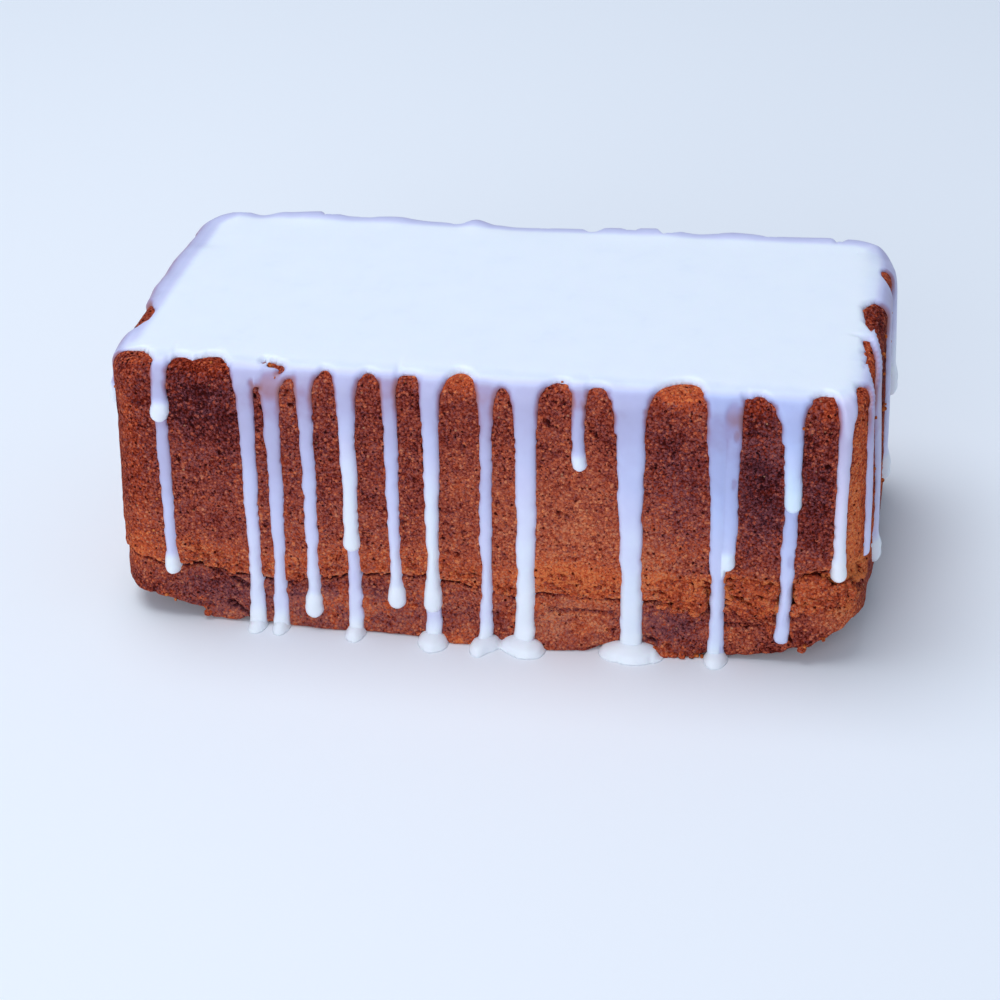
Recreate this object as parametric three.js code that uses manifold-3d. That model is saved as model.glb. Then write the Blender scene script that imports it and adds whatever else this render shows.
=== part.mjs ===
// A lemon drizzle loaf cake: a dense brown sponge, turned out of its tin upside down, under poured white
// icing that runs down its four sides in narrow drips.
//
// Millimetres, +Z up. The loaf stands on its flat underside, its long front face looks along -Y, and the
// origin is the middle of the whole cake's base.
//
// Everything is laid out on one smooth skin, which is the loaf without its cracks. A place on the skin is
// (u, q): u runs round the loaf at half its height, anticlockwise from the left end of the front face, and q
// runs down from where the flat top starts to bend over the edge. A third value, h, is the height above the
// skin. The sponge's relief goes inwards from the skin, and the icing lies on it.

import * as THREE from 'three';
import { mergeVertices } from 'three/addons/utils/BufferGeometryUtils.js';
import Module from 'manifold-3d';

// The loaf, measured at half its height
const LENGTH = 224;
const WIDTH = 104.5;
const HEIGHT = 87.4;
const CORNER_RADIUS = 14.3;
const TOP_EDGE_RADIUS = 6;
const FLARE = THREE.MathUtils.degToRad(2.35); // the tin's draft: the sides spread downwards
const SKEW = 0.052; // the ends aren't quite square to the front: x moves by this much of y

// The icing
const GAP = 0.4; // between the sponge and the icing
const TOP_THICKNESS = 1.4;
const LIP_THICKNESS = 0.8;
const DRIP_THICKNESS = 1.5;
const BULB_THICKNESS = 2.3;
const RUN_THICKNESS = 0.7; // a thin run under a thick drip's bulb
const FLOOR_CLEARANCE = 0.5;
const FOOT_HEIGHT = 4.2; // of the mound where a drip spreads on the plate
const MAX_FOOT_REACH = 6;
const PARTING = 6.5; // q at which the drips have parted from each other

// How a drip ends
const BULB = 'bulb';
const FOOT = 'foot'; // spreads on the plate
const TIP = 'tip';

// Drips on the front: x at the top and at the end, width at the top and lower down, height of the end, and
// the width of the bulb, foot or tip that ends it
const FRONT_DRIPS = [
  [-95.0, -96.6, 5.5, 4.4, 69.6, 5.2, BULB],
  [-70.5, -71.6, 6.5, 4.3, 0, 7, FOOT],
  [-63.0, -64.7, 7.5, 4.1, 0, 5, FOOT],
  [-52.5, -54.3, 6.8, 3.9, 4.5, 5.2, BULB],
  [-41.2, -42.0, 5.8, 4.1, 28.7, 5.2, BULB],
  [-28.0, -28.9, 6.4, 3.8, 9.8, 5.0, BULB],
  [-16.0, -18.1, 7.0, 4.2, 9.3, 5.4, BULB],
  [-0.9, -2.0, 6.4, 3.7, 0, 9, FOOT],
  [10.9, 9.5, 8.2, 5.4, 0, 13, FOOT],
  [27.0, 26.4, 5.6, 3.4, 62.2, 4.2, BULB],
  [41.0, 41.9, 13.0, 7.0, 0, 19, FOOT],
  [66.4, 68.0, 11.0, 7.4, 32.3, 6.4, BULB],
  [85.0, 86.3, 7.5, 4.6, 53.2, 4.8, BULB],
  [100.0, 101.5, 5.4, 3.4, 29.3, 4.8, BULB],
];
// Thin runs that go on below a bulb: x at their top and end, width, heights of their top and end, and ending
const FRONT_RUNS = [
  [-96.3, -98.3, 4.0, 73, 15.8, 5.0, BULB],
  [-41.2, -41.6, 3.8, 33, 0, 6, FOOT],
  [-17.6, -17.4, 4.2, 12, 0, 9, FOOT],
  [66.4, 66.8, 3.5, 36, 0, 7, FOOT],
  [86.5, 85.4, 3.8, 57, 7.2, 2.6, TIP],
];
// Gaps between the drips along the front: x, q of the top of the gap, and its width there
const FRONT_GAPS = [
  [-101.5, 0.2, 7],
  [-84, 2.0, 14],
  [-57, 5.4, 1],
  [-46, 3.5, 1],
  [-34, 3.5, 1],
  [-21.8, 3.5, 1],
  [-8, 1.9, 5],
  [4.8, 5.9, 1],
  [20, 3.2, 4],
  [31.6, 4.0, 1],
  [55, 0.6, 10],
  [76, 3.4, 4],
  [93.8, 1.9, 3],
];
// The same at the right end, by y
const RIGHT_DRIPS = [
  [-30, -31, 7, 4.6, 24, 5.4, BULB],
  [-7, -9, 8, 4.4, 15, 5.2, BULB],
  [13.5, 12, 8, 5.2, 19, 6.4, BULB],
  [36, 37.5, 12, 6.8, 42, 7.6, BULB],
];
const RIGHT_GAPS = [
  [-42, -4.5, 5],
  [-18.5, -4.5, 7],
  [2.5, -5, 12],
  [25, -0.5, 5],
];
const LEFT_DRIPS = [
  [40, 41, 7, 4.2, 30, 5, BULB],
  [22, 21, 6, 4.4, 13.5, 5.6, BULB],
  [4, 3, 9, 5.0, 48, 5.6, BULB],
  [-12, -12.5, 5.6, 3.8, 11, 4.8, BULB],
  [-41, -42.5, 8, 5.0, 66, 6.4, BULB],
];
const LEFT_GAPS = [
  [31, 3.5, 2],
  [13, 4.0, 1],
  [-4, 3.0, 2],
  [-27, -2.5, 16],
];
const BACK_DRIP_COUNT = 14;
const BACK_PLATE_REACH = 62; // drips within this x of the middle may reach the plate

// Height of the sponge's bottom edge above the plate, and of the crack round its lower side, along the front
const FRONT_BOTTOM = [
  [-112, 12], [-103, 8], [-91, 5.6], [-87, 1.6], [-76, 0.6], [-62, 0], [30, 0], [42, 3.2], [52, 0.6],
  [68, 2.4], [83, 4.6], [89, 8.5], [98, 10.5], [106, 16],
];
const FRONT_CRACK = [
  [-110, 21], [-95, 19], [-84, 18.5], [-60, 16.5], [-38, 20.5], [-22, 22], [0, 19], [7, 16.5], [26, 18.8],
  [50, 18], [70, 19.5], [85, 18.5], [97, 23], [107, 25],
];
// The same along the other sides, at parts of the way from the front's right corner round to its left one
const REST_BOTTOM = [
  [0.03, 15], [0.1, 9], [0.2, 13], [0.25, 9], [0.33, 1], [0.4, 0], [0.62, 0], [0.68, 1.5], [0.76, 8],
  [0.82, 11], [0.9, 7], [0.97, 11],
];
const REST_CRACK = [
  [0.03, 24], [0.12, 20], [0.22, 22], [0.35, 18], [0.5, 21], [0.65, 18], [0.78, 21], [0.9, 18.5], [0.97, 20],
];

const SPONGE_COLOUR = 0x8a3f22;
const ICING_COLOUR = 0xe9eefb;

// ---------------------------------------------------------------------------------------------- the skin

const SIDE_X = LENGTH / 2 - CORNER_RADIUS; // half of the front's straight stretch
const SIDE_Y = WIDTH / 2 - CORNER_RADIUS;
const ARC = (CORNER_RADIUS * Math.PI) / 2;
const RIGHT_START = 2 * SIDE_X + ARC; // u where each side's straight stretch starts
const BACK_START = RIGHT_START + 2 * SIDE_Y + ARC;
const LEFT_START = BACK_START + 2 * SIDE_X + ARC;
const PERIMETER = LEFT_START + 2 * SIDE_Y + ARC;

const EDGE_ARC = TOP_EDGE_RADIUS * (Math.PI / 2 - FLARE); // length of the bend over the top edge
const EDGE_BOTTOM = HEIGHT - TOP_EDGE_RADIUS + TOP_EDGE_RADIUS * Math.sin(FLARE);

// The four straight stretches, each followed by a corner: start point, direction and length
const STRETCHES = [
  [-SIDE_X, -WIDTH / 2, 1, 0, 2 * SIDE_X],
  [LENGTH / 2, -SIDE_Y, 0, 1, 2 * SIDE_Y],
  [SIDE_X, WIDTH / 2, -1, 0, 2 * SIDE_X],
  [-LENGTH / 2, SIDE_Y, 0, -1, 2 * SIDE_Y],
];

// Point and outward normal of the outline at u, before the skew
function outlineAt(u) {
  let rest = ((u % PERIMETER) + PERIMETER) % PERIMETER;
  for (const [x, y, dx, dy, length] of STRETCHES) {
    if (rest <= length) {
      return { x: x + dx * rest, y: y + dy * rest, nx: dy, ny: -dx };
    }
    rest -= length;
    if (rest <= ARC) {
      const turn = rest / CORNER_RADIUS;
      const nx = dy * Math.cos(turn) + dx * Math.sin(turn);
      const ny = -dx * Math.cos(turn) + dy * Math.sin(turn);
      const centreX = x + dx * length - dy * CORNER_RADIUS;
      const centreY = y + dy * length + dx * CORNER_RADIUS;
      return { x: centreX + nx * CORNER_RADIUS, y: centreY + ny * CORNER_RADIUS, nx, ny };
    }
    rest -= ARC;
  }
  return outlineAt(0);
}

// The side's profile at q: how far out from the mid-height outline, how high, and its normal
function profileAt(q) {
  const bendZ = HEIGHT - TOP_EDGE_RADIUS;
  const bendOut = Math.tan(FLARE) * (HEIGHT / 2 - bendZ) - TOP_EDGE_RADIUS / Math.cos(FLARE);
  if (q <= 0) {
    return { out: bendOut + q, z: HEIGHT, nOut: 0, nz: 1 };
  }
  const angle = Math.max(Math.PI / 2 - q / TOP_EDGE_RADIUS, FLARE);
  const nOut = Math.cos(angle);
  const nz = Math.sin(angle);
  const below = Math.max(q - EDGE_ARC, 0);
  return {
    out: bendOut + TOP_EDGE_RADIUS * nOut + below * Math.sin(FLARE),
    z: bendZ + TOP_EDGE_RADIUS * nz - below * Math.cos(FLARE),
    nOut,
    nz,
  };
}

function skewed(x, y, z) {
  return new THREE.Vector3(x + SKEW * y, y, z);
}

function skinPoint(u, q, h) {
  const plan = outlineAt(u);
  const side = profileAt(q);
  const out = side.out + side.nOut * h;
  return skewed(plan.x + plan.nx * out, plan.y + plan.ny * out, side.z + side.nz * h);
}

function depthOfHeight(z) {
  return EDGE_ARC + (EDGE_BOTTOM - z) / Math.cos(FLARE);
}

// u of a place on each side, from its x or y
const frontAt = (x) => x + SIDE_X + (SKEW * WIDTH) / 2;
const rightAt = (y) => RIGHT_START + y + SIDE_Y;
const backAt = (x) => BACK_START + SIDE_X - x;
const leftAt = (y) => LEFT_START + SIDE_Y - y;

// ---------------------------------------------------------------------------------------------- helpers

// An even random number from 0 to 1 that depends only on its seed
function randomOf(seed) {
  const value = Math.sin(seed * 12.9898 + 4.1414) * 43758.5453;
  return value - Math.floor(value);
}

// Smooth unevenness from -1 to 1 with a given wavelength
function ripple(u, wavelength, seed) {
  const turns = (u / PERIMETER) * 2 * Math.PI;
  const waves = Math.round(PERIMETER / wavelength);
  return 0.6 * Math.sin(turns * waves + seed) + 0.4 * Math.sin(turns * (waves * 2 + 1) + 2.3 * seed);
}

// A closed curve through [u, value] points, eased between them
function loopThrough(points) {
  const sorted = [...points].sort((a, b) => a[0] - b[0]);
  return (u) => {
    const place = ((u % PERIMETER) + PERIMETER) % PERIMETER;
    let next = sorted.findIndex((point) => point[0] > place);
    next = next < 0 ? sorted.length : next;
    const [u0, v0] = sorted[(next + sorted.length - 1) % sorted.length];
    const [u1, v1] = sorted[next % sorted.length];
    const span = (u1 - u0 + PERIMETER) % PERIMETER;
    const part = ((place - u0 + PERIMETER) % PERIMETER) / span;
    return v0 + (v1 - v0) * part * part * (3 - 2 * part);
  };
}

// A closed curve from [x, value] points along the front and [part of the way, value] points round the rest
function frontAndRest(front, rest) {
  const first = frontAt(front[0][0]) + (frontAt(front[0][0]) < 0 ? PERIMETER : 0);
  const last = frontAt(front.at(-1)[0]);
  const along = front.map(([x, value]) => [(frontAt(x) + PERIMETER) % PERIMETER, value]);
  const around = rest.map(([part, value]) => [last + (first - last) * part, value]);
  return loopThrough([...along, ...around]);
}

const bottomAt = frontAndRest(FRONT_BOTTOM, REST_BOTTOM);
const crackAt = frontAndRest(FRONT_CRACK, REST_CRACK);

// A closed mesh from rings of points that run down from a first pole to a last one
function closedMesh(rings, first, last) {
  const count = rings[0].length;
  const points = [first, ...rings.flat(), last];
  const faces = [];
  const at = (ring, i) => 1 + ring * count + (i % count);
  for (let i = 0; i < count; i += 1) {
    faces.push(0, at(0, i), at(0, i + 1));
    for (let ring = 0; ring + 1 < rings.length; ring += 1) {
      faces.push(at(ring, i), at(ring + 1, i), at(ring, i + 1));
      faces.push(at(ring, i + 1), at(ring + 1, i), at(ring + 1, i + 1));
    }
    faces.push(at(rings.length - 1, i), points.length - 1, at(rings.length - 1, i + 1));
  }
  const geometry = new THREE.BufferGeometry().setFromPoints(points);
  geometry.setIndex(faces);
  return geometry;
}

function middleOf(points) {
  const sum = points.reduce((total, point) => total.add(point), new THREE.Vector3());
  return sum.divideScalar(points.length);
}

function toSolid(wasm, geometry) {
  const merged = mergeVertices(geometry);
  return new wasm.Manifold(
    new wasm.Mesh({
      numProp: 3,
      vertProperties: new Float32Array(merged.attributes.position.array),
      triVerts: new Uint32Array(merged.index.array),
    }),
  );
}

function toGeometry(solid) {
  const mesh = solid.getMesh();
  const geometry = new THREE.BufferGeometry();
  geometry.setAttribute('position', new THREE.BufferAttribute(mesh.vertProperties, 3));
  geometry.setIndex(new THREE.BufferAttribute(mesh.triVerts, 1));
  return geometry;
}

// ---------------------------------------------------------------------------------------------- sponge

const SPONGE_STEP = 6.2; // between the sponge's points round the loaf
const CORNER_STEPS = 4;
const LEAST_DENT = 0.1; // keeps the facets inside the skin
const EDGE_ROWS = [0, 1 / 3, 2 / 3, 1]; // parts of the bend over the top edge
const WALL_ROWS = [0.8, 0.6, 0.42, 0.28]; // parts of the way from the crack up to the bend
const WALL_WAVE = 0.25;
const BAND_ROWS = [8, 5, 2.6]; // heights above the crack, in the rough, torn band
const BAND_ROUGHNESS = 1.4;
// Rows of the crack and of the smoother crust under it: height from the crack, dent, and its unevenness
const CRACK_ROWS = [
  [0.9, 0.15, 0.15],
  [-0.5, 1.8, 0.8],
  [-2, 0.9, 0.5],
];
const CRUST_DENT = 0.5;
// Rows of the rounded bottom edge: height above it, and dent
const BOTTOM_ROWS = [
  [2.8, 0.5],
  [0.9, 1.3],
  [0, 3.2],
];
const UNDER_INSET = 10;
// Rows of the underside: parts of the length and the width, and of the bottom edge's height
const UNDER_ROWS = [
  [1, 1, 0.75],
  [0.82, 0.8, 0.3],
  [0.62, 0.6, 0],
];

// Places round the loaf at an even spacing, with finer ones on the corners
function evenStations(spacing) {
  const stations = [];
  let start = 0;
  for (const stretch of STRETCHES) {
    const length = stretch[4];
    const steps = Math.round(length / spacing);
    for (let i = 0; i < steps; i += 1) {
      stations.push(start + (length * i) / steps);
    }
    for (let i = 0; i < CORNER_STEPS; i += 1) {
      stations.push(start + length + (ARC * i) / CORNER_STEPS);
    }
    start += length + ARC;
  }
  return stations;
}

// One ring of the wall at height zAt(u), dented inwards by dentAt(u)
function wallRing(stations, zAt, dentAt) {
  return stations.map((u) => {
    const dented = skinPoint(u, depthOfHeight(zAt(u)), -LEAST_DENT - Math.max(dentAt(u), 0));
    return dented.setZ(zAt(u));
  });
}

// The even wall above the rough band
function upperWallRings(stations) {
  return WALL_ROWS.map((part, row) => {
    const zAt = (u) => crackAt(u) + (EDGE_BOTTOM - crackAt(u)) * part;
    return wallRing(stations, zAt, (u) => WALL_WAVE * (1 + ripple(u, 70 - 8 * row, row)));
  });
}

function roughBandRings(stations) {
  return BAND_ROWS.map((above, row) => {
    const rough = (u) => 0.2 + BAND_ROUGHNESS * randomOf(Math.round(u) + 71 * row);
    return wallRing(stations, (u) => crackAt(u) + above, rough);
  });
}

function crackRings(stations) {
  return CRACK_ROWS.map(([above, dent, uneven], row) => {
    const dentAt = (u) => dent + uneven * ripple(u, 31 + 6 * row, 5 - row);
    return wallRing(stations, (u) => crackAt(u) + above, dentAt);
  });
}

function bottomEdgeRings(stations) {
  const halfway = (u) => (crackAt(u) + bottomAt(u)) / 2;
  const crust = wallRing(stations, halfway, (u) => CRUST_DENT * (1 + ripple(u, 37, 1)));
  const edge = BOTTOM_ROWS.map(([above, dent]) =>
    wallRing(stations, (u) => bottomAt(u) + above, () => dent),
  );
  return [crust, ...edge];
}

// The underside is flat in the middle and rises towards the ends, as the loaf's domed crust did
function undersideRings(stations) {
  return UNDER_ROWS.map(([partX, partY, rise]) =>
    stations.map((u) => {
      const plan = outlineAt(u);
      const x = (plan.x - plan.nx * UNDER_INSET) * partX;
      const y = (plan.y - plan.ny * UNDER_INSET) * partY;
      return skewed(x, y, rise * bottomAt(u));
    }),
  );
}

function spongeGeometry() {
  const stations = evenStations(SPONGE_STEP);
  const rings = [
    ...EDGE_ROWS.map((part) => stations.map((u) => skinPoint(u, EDGE_ARC * part, -LEAST_DENT))),
    ...upperWallRings(stations),
    ...roughBandRings(stations),
    ...crackRings(stations),
    ...bottomEdgeRings(stations),
    ...undersideRings(stations),
  ];
  return closedMesh(rings, skewed(0, 0, HEIGHT - LEAST_DENT), skewed(0, 0, 0));
}

// ---------------------------------------------------------------------------------------------- icing

const ICING_STEP = 5.4; // between the points of the poured cap round the loaf
const TOP_SAG = 0.2; // the icing is a little thinner towards the edges of the top
const TOP_WAVE = 0.25;
// Rows of the cap's outside over the edge, and of its underside: q and height
const CAP_ROWS = [
  [-3, TOP_THICKNESS - TOP_SAG],
  [1.2, LIP_THICKNESS + 0.25],
  [PARTING - 0.9, LIP_THICKNESS],
  [PARTING, 0.25],
  [PARTING, 0],
  [PARTING / 2, 0],
  [0, 0],
];
const CUTTER_TOP = 9; // how far above the skin the cutter of a gap starts, and where it ends
const CUTTER_BOTTOM = GAP - 0.8;
const STEM_STEP = 24; // between the cross-sections of a drip's stem
const ROOT_SINK = 0.2; // a drip's root starts this far inside the cap
const DRIP_SHAPE = [[-0.5, 0], [-0.27, 1], [0.27, 1], [0.5, 0]]; // across and up, as parts of its size
// Rows of a bulb: height above its end in radii, and parts of its width and thickness
const BULB_ROWS = [
  [1.7, 0.93, 0.9],
  [1, 1, 1],
  [0.35, 0.76, 0.8],
  [0, 0.3, 0.3],
];
const BULB_NECK = 3.4; // radii above the end at which a stem starts to swell into its bulb

const dripFrom = (at) => ([top, end, topWidth, width, height, endWidth, ending]) => ({
  top: at(top),
  end: at(end),
  topWidth,
  width,
  height,
  endWidth,
  ending,
});
const gapFrom = (at) => ([where, q, width]) => ({ where: at(where), q, width });

// The back's drips take the front's widths in another order, and their places and lengths vary at random
function backDrips() {
  const pitch = (2 * SIDE_X) / BACK_DRIP_COUNT;
  return Array.from({ length: BACK_DRIP_COUNT }, (_, i) => {
    const [, , topWidth, width, , endWidth] = FRONT_DRIPS[(i * 5 + 3) % FRONT_DRIPS.length];
    const x = -SIDE_X + pitch * (i + 0.5 + 0.3 * (randomOf(i + 11) - 0.5));
    const ending = Math.abs(x) < BACK_PLATE_REACH && randomOf(i + 40) < 0.5 ? FOOT : BULB;
    const height = ending === FOOT ? 0 : 14 + 50 * randomOf(i + 70);
    const lean = 2.4 * (randomOf(i + 90) - 0.5);
    const widths = [Math.min(topWidth, 9), Math.min(width, 5.2)];
    const endLimit = ending === FOOT ? 9 : 5.6;
    return [x, x + lean, ...widths, height, Math.min(endWidth, endLimit), ending];
  });
}

function backGaps() {
  const places = [-SIDE_X - 8, ...backDrips().map(([x]) => x), SIDE_X + 8];
  return places.slice(1).map((after, i) => {
    const before = places[i];
    return [(before + after) / 2, 1.5 + 3.5 * randomOf(i + 130), Math.max(after - before - 10, 1)];
  });
}

function allDrips() {
  return [
    ...FRONT_DRIPS.map(dripFrom(frontAt)),
    ...RIGHT_DRIPS.map(dripFrom(rightAt)),
    ...backDrips().map(dripFrom(backAt)),
    ...LEFT_DRIPS.map(dripFrom(leftAt)),
  ];
}

function allGaps() {
  return [
    ...FRONT_GAPS.map(gapFrom(frontAt)),
    ...RIGHT_GAPS.map(gapFrom(rightAt)),
    ...backGaps().map(gapFrom(backAt)),
    ...LEFT_GAPS.map(gapFrom(leftAt)),
  ];
}

// The poured cap, whole, down to where the drips part
function capGeometry() {
  const stations = evenStations(ICING_STEP);
  const top = HEIGHT + GAP + TOP_THICKNESS;
  const shoulder = stations.map((u) => {
    const plan = outlineAt(u);
    return skewed(plan.x * 0.84, plan.y * 0.78, top - TOP_SAG + TOP_WAVE * ripple(u, 120, 3));
  });
  const rows = CAP_ROWS.map(([q, height]) => stations.map((u) => skinPoint(u, q, GAP + height)));
  return closedMesh([shoulder, ...rows], skewed(0, 0, top), skewed(0, 0, HEIGHT + GAP));
}

// Points from one place on the skin up to the next, with no step longer than the cap's
function splitEvenly([u0, q0], [u1, q1]) {
  const steps = Math.max(1, Math.ceil(Math.abs(u1 - u0) / ICING_STEP));
  const pointAt = (part) => [u0 + (u1 - u0) * part, q0 + (q1 - q0) * part];
  return Array.from({ length: steps }, (_, i) => pointAt(i / steps));
}

// What is cut out of the cap between two drips: a pointed arch whose feet are the drips' edges
function gapGeometry({ where, q, width }, before, after) {
  const left = before.top + before.topWidth / 2;
  const right = after.top - after.topWidth / 2;
  const bottom = PARTING + 1;
  const shoulder = q + (PARTING - q) * 0.45;
  const arch = [
    [left, bottom],
    [right, bottom],
    [right * 0.8 + where * 0.2, shoulder],
    [where + width / 2, q],
    [where - width / 2, q],
    [left * 0.8 + where * 0.2, shoulder],
  ];
  const outline = arch.flatMap((corner, i) => splitEvenly(corner, arch[(i + 1) % arch.length]));
  const ring = (h) => outline.map(([u, depth]) => skinPoint(u, depth, h));
  const pole = (h) => skinPoint(where, (q + bottom) / 2, h);
  return closedMesh([ring(CUTTER_TOP), ring(CUTTER_BOTTOM)], pole(CUTTER_TOP), pole(CUTTER_BOTTOM));
}

// The drips on either side of a place, counted on round the loaf
function neighbours(u, drips) {
  const turned = (turn) => drips.map((drip) => ({ ...drip, top: drip.top + turn }));
  const all = [-PERIMETER, 0, PERIMETER].flatMap(turned).sort((a, b) => a.top - b.top);
  const next = all.findIndex((drip) => drip.top > u);
  return [all[next - 1], all[next]];
}

// Where a drip's stem stops, and the [height, width, thickness] rows of its ending below that
function endingOf({ width, height, endWidth, ending }, thickness) {
  if (ending === FOOT) {
    const reach = Math.min(endWidth * 0.36, MAX_FOOT_REACH);
    return {
      stemEnd: FOOT_HEIGHT * 1.6,
      rows: [
        [FOOT_HEIGHT, Math.max(width * 1.1, endWidth * 0.55), Math.max(thickness, reach * 0.45)],
        [FOOT_HEIGHT * 0.62, endWidth * 0.84, reach * 0.82],
        [FLOOR_CLEARANCE, endWidth, reach],
      ],
    };
  }
  if (ending === TIP) {
    return { stemEnd: height + 4, rows: [[height, endWidth, thickness * 0.8]] };
  }
  const radius = endWidth / 2;
  return {
    stemEnd: height + radius * BULB_NECK,
    rows: BULB_ROWS.map(([radii, wide, thick]) => [
      height + radius * radii,
      endWidth * wide,
      BULB_THICKNESS * thick,
    ]),
  };
}

// A drip's cross-section at one place, flat against the skin
function dripSection(u, q, width, thickness, sink = 0) {
  return DRIP_SHAPE.map(([across, up]) => {
    const height = GAP + sink + up * (thickness - sink);
    return skinPoint(u + across * width, q, height);
  });
}

// The sections of a drip's root, which comes out of the cap
function rootSections({ top, topWidth, width }, thickness) {
  return [
    dripSection(top, 1, topWidth * 0.8, LIP_THICKNESS * 0.8, ROOT_SINK),
    dripSection(top, PARTING - 2, topWidth, LIP_THICKNESS + 0.3, ROOT_SINK),
    dripSection(top, PARTING + 2, (topWidth + width) / 2, thickness),
  ];
}

// The rest of a drip, from a given depth down
function stemSections(drip, fromDepth, thickness) {
  const { stemEnd, rows } = endingOf(drip, thickness);
  const toDepth = depthOfHeight(stemEnd);
  const endDepth = depthOfHeight(drip.height);
  const place = (q) => drip.top + ((drip.end - drip.top) * (q - fromDepth)) / (endDepth - fromDepth);
  const steps = Math.max(1, Math.round((toDepth - fromDepth) / STEM_STEP));
  const stem = Array.from({ length: steps + 1 }, (_, i) => {
    const q = fromDepth + ((toDepth - fromDepth) * i) / steps;
    const sway = 0.25 * Math.sin(q * 0.21 + drip.top);
    const swell = 1 + 0.06 * Math.sin(q * 0.13 + 2 * drip.top);
    return dripSection(place(q) + sway, q, drip.width * swell, thickness);
  });
  const ending = rows.map(([z, width, thick]) => {
    const q = depthOfHeight(z);
    return dripSection(place(q), q, width, thick);
  });
  return [...stem, ...ending];
}

function loftedMesh(sections) {
  return closedMesh(sections, middleOf(sections[0]), middleOf(sections.at(-1)));
}

function dripGeometry(drip) {
  const stemStart = EDGE_ARC + 7;
  const root = rootSections(drip, DRIP_THICKNESS);
  return loftedMesh([...root, ...stemSections(drip, stemStart, DRIP_THICKNESS)]);
}

function runGeometry([top, end, width, topHeight, height, endWidth, ending]) {
  const run = { top: frontAt(top), end: frontAt(end), width, height, endWidth, ending };
  return loftedMesh(stemSections(run, depthOfHeight(topHeight), RUN_THICKNESS));
}

function icingGeometry(wasm) {
  const drips = allDrips();
  let solid = toSolid(wasm, capGeometry());
  for (const gap of allGaps()) {
    const cutter = gapGeometry(gap, ...neighbours(gap.where, drips));
    solid = solid.subtract(toSolid(wasm, cutter));
  }
  for (const drip of drips) {
    solid = solid.add(toSolid(wasm, dripGeometry(drip)));
  }
  for (const run of FRONT_RUNS) {
    solid = solid.add(toSolid(wasm, runGeometry(run)));
  }
  return toGeometry(solid);
}

// ---------------------------------------------------------------------------------------------- the cake

function spongeMaterial() {
  return new THREE.MeshStandardMaterial({ color: SPONGE_COLOUR, roughness: 0.85, metalness: 0 });
}

function icingMaterial() {
  return new THREE.MeshStandardMaterial({ color: ICING_COLOUR, roughness: 0.35, metalness: 0 });
}

function namedMesh(name, geometry, material) {
  const mesh = new THREE.Mesh(geometry, material);
  mesh.name = name;
  return mesh;
}

const wasm = await Module();
wasm.setup();

const cake = new THREE.Group();
cake.add(namedMesh('sponge', spongeGeometry(), spongeMaterial()));
cake.add(namedMesh('icing', icingGeometry(wasm), icingMaterial()));

// the origin goes to the middle of the whole cake's base
const middle = new THREE.Box3().setFromObject(cake).getCenter(new THREE.Vector3());
cake.position.set(-middle.x, -middle.y, 0);
cake.updateMatrixWorld(true);

export default cake;
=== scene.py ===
"""The looks of a lemon drizzle loaf cake: a porous brown sponge under poured white icing that runs down it.

Sizes are in millimetres and turn into metres when a mesh is made. Both pieces are laid out on one smooth
skin, the loaf without its cracks. A place on the skin is (u, q): u runs round the loaf at half its height,
anticlockwise from the left end of the front face, and q runs down from where the flat top starts to bend
over the edge. h is the height above the skin.
"""

import itertools
import math

import bpy
import numpy as np
from mathutils import Matrix, Vector
from mathutils.geometry import delaunay_2d_cdt


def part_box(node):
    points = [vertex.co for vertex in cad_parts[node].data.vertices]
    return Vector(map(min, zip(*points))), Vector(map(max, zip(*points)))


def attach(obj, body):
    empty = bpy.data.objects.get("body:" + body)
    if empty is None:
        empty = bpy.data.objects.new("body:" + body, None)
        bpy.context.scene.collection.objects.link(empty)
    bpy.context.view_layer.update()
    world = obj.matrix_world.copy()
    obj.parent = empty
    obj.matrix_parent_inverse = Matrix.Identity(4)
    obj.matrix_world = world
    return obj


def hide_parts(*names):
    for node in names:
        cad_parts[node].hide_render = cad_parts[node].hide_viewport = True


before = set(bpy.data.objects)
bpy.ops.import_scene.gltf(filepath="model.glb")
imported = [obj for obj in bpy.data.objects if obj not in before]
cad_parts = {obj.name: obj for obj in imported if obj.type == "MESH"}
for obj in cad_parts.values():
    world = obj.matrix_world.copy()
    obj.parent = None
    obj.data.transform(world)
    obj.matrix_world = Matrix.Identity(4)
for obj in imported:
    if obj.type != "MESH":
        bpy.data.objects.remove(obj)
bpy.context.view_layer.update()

MM = 0.001
SPONGE_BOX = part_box("sponge")
BASE = (SPONGE_BOX[0] + SPONGE_BOX[1]) / 2  # the loaf's middle in the frame; its z isn't used

# The loaf, measured at half its height
LENGTH = 224.0
WIDTH = 104.5
HEIGHT = 87.4
CORNER_RADIUS = 14.3
TOP_EDGE_RADIUS = 6.0
FLARE = math.radians(2.35)  # the tin's draft: the sides spread downwards
SKEW = 0.052  # the ends aren't quite square to the front: x moves by this much of y

SIDE_X = LENGTH / 2 - CORNER_RADIUS  # half of the front's straight stretch
SIDE_Y = WIDTH / 2 - CORNER_RADIUS
ARC = CORNER_RADIUS * math.pi / 2
RIGHT_START = 2 * SIDE_X + ARC  # u where each side's straight stretch starts
BACK_START = RIGHT_START + 2 * SIDE_Y + ARC
LEFT_START = BACK_START + 2 * SIDE_X + ARC
PERIMETER = LEFT_START + 2 * SIDE_Y + ARC
STRETCHES = [  # start point, direction and length of each straight stretch
    (-SIDE_X, -WIDTH / 2, 1, 0, 2 * SIDE_X),
    (LENGTH / 2, -SIDE_Y, 0, 1, 2 * SIDE_Y),
    (SIDE_X, WIDTH / 2, -1, 0, 2 * SIDE_X),
    (-LENGTH / 2, SIDE_Y, 0, -1, 2 * SIDE_Y),
]
EDGE_ARC = TOP_EDGE_RADIUS * (math.pi / 2 - FLARE)
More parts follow.
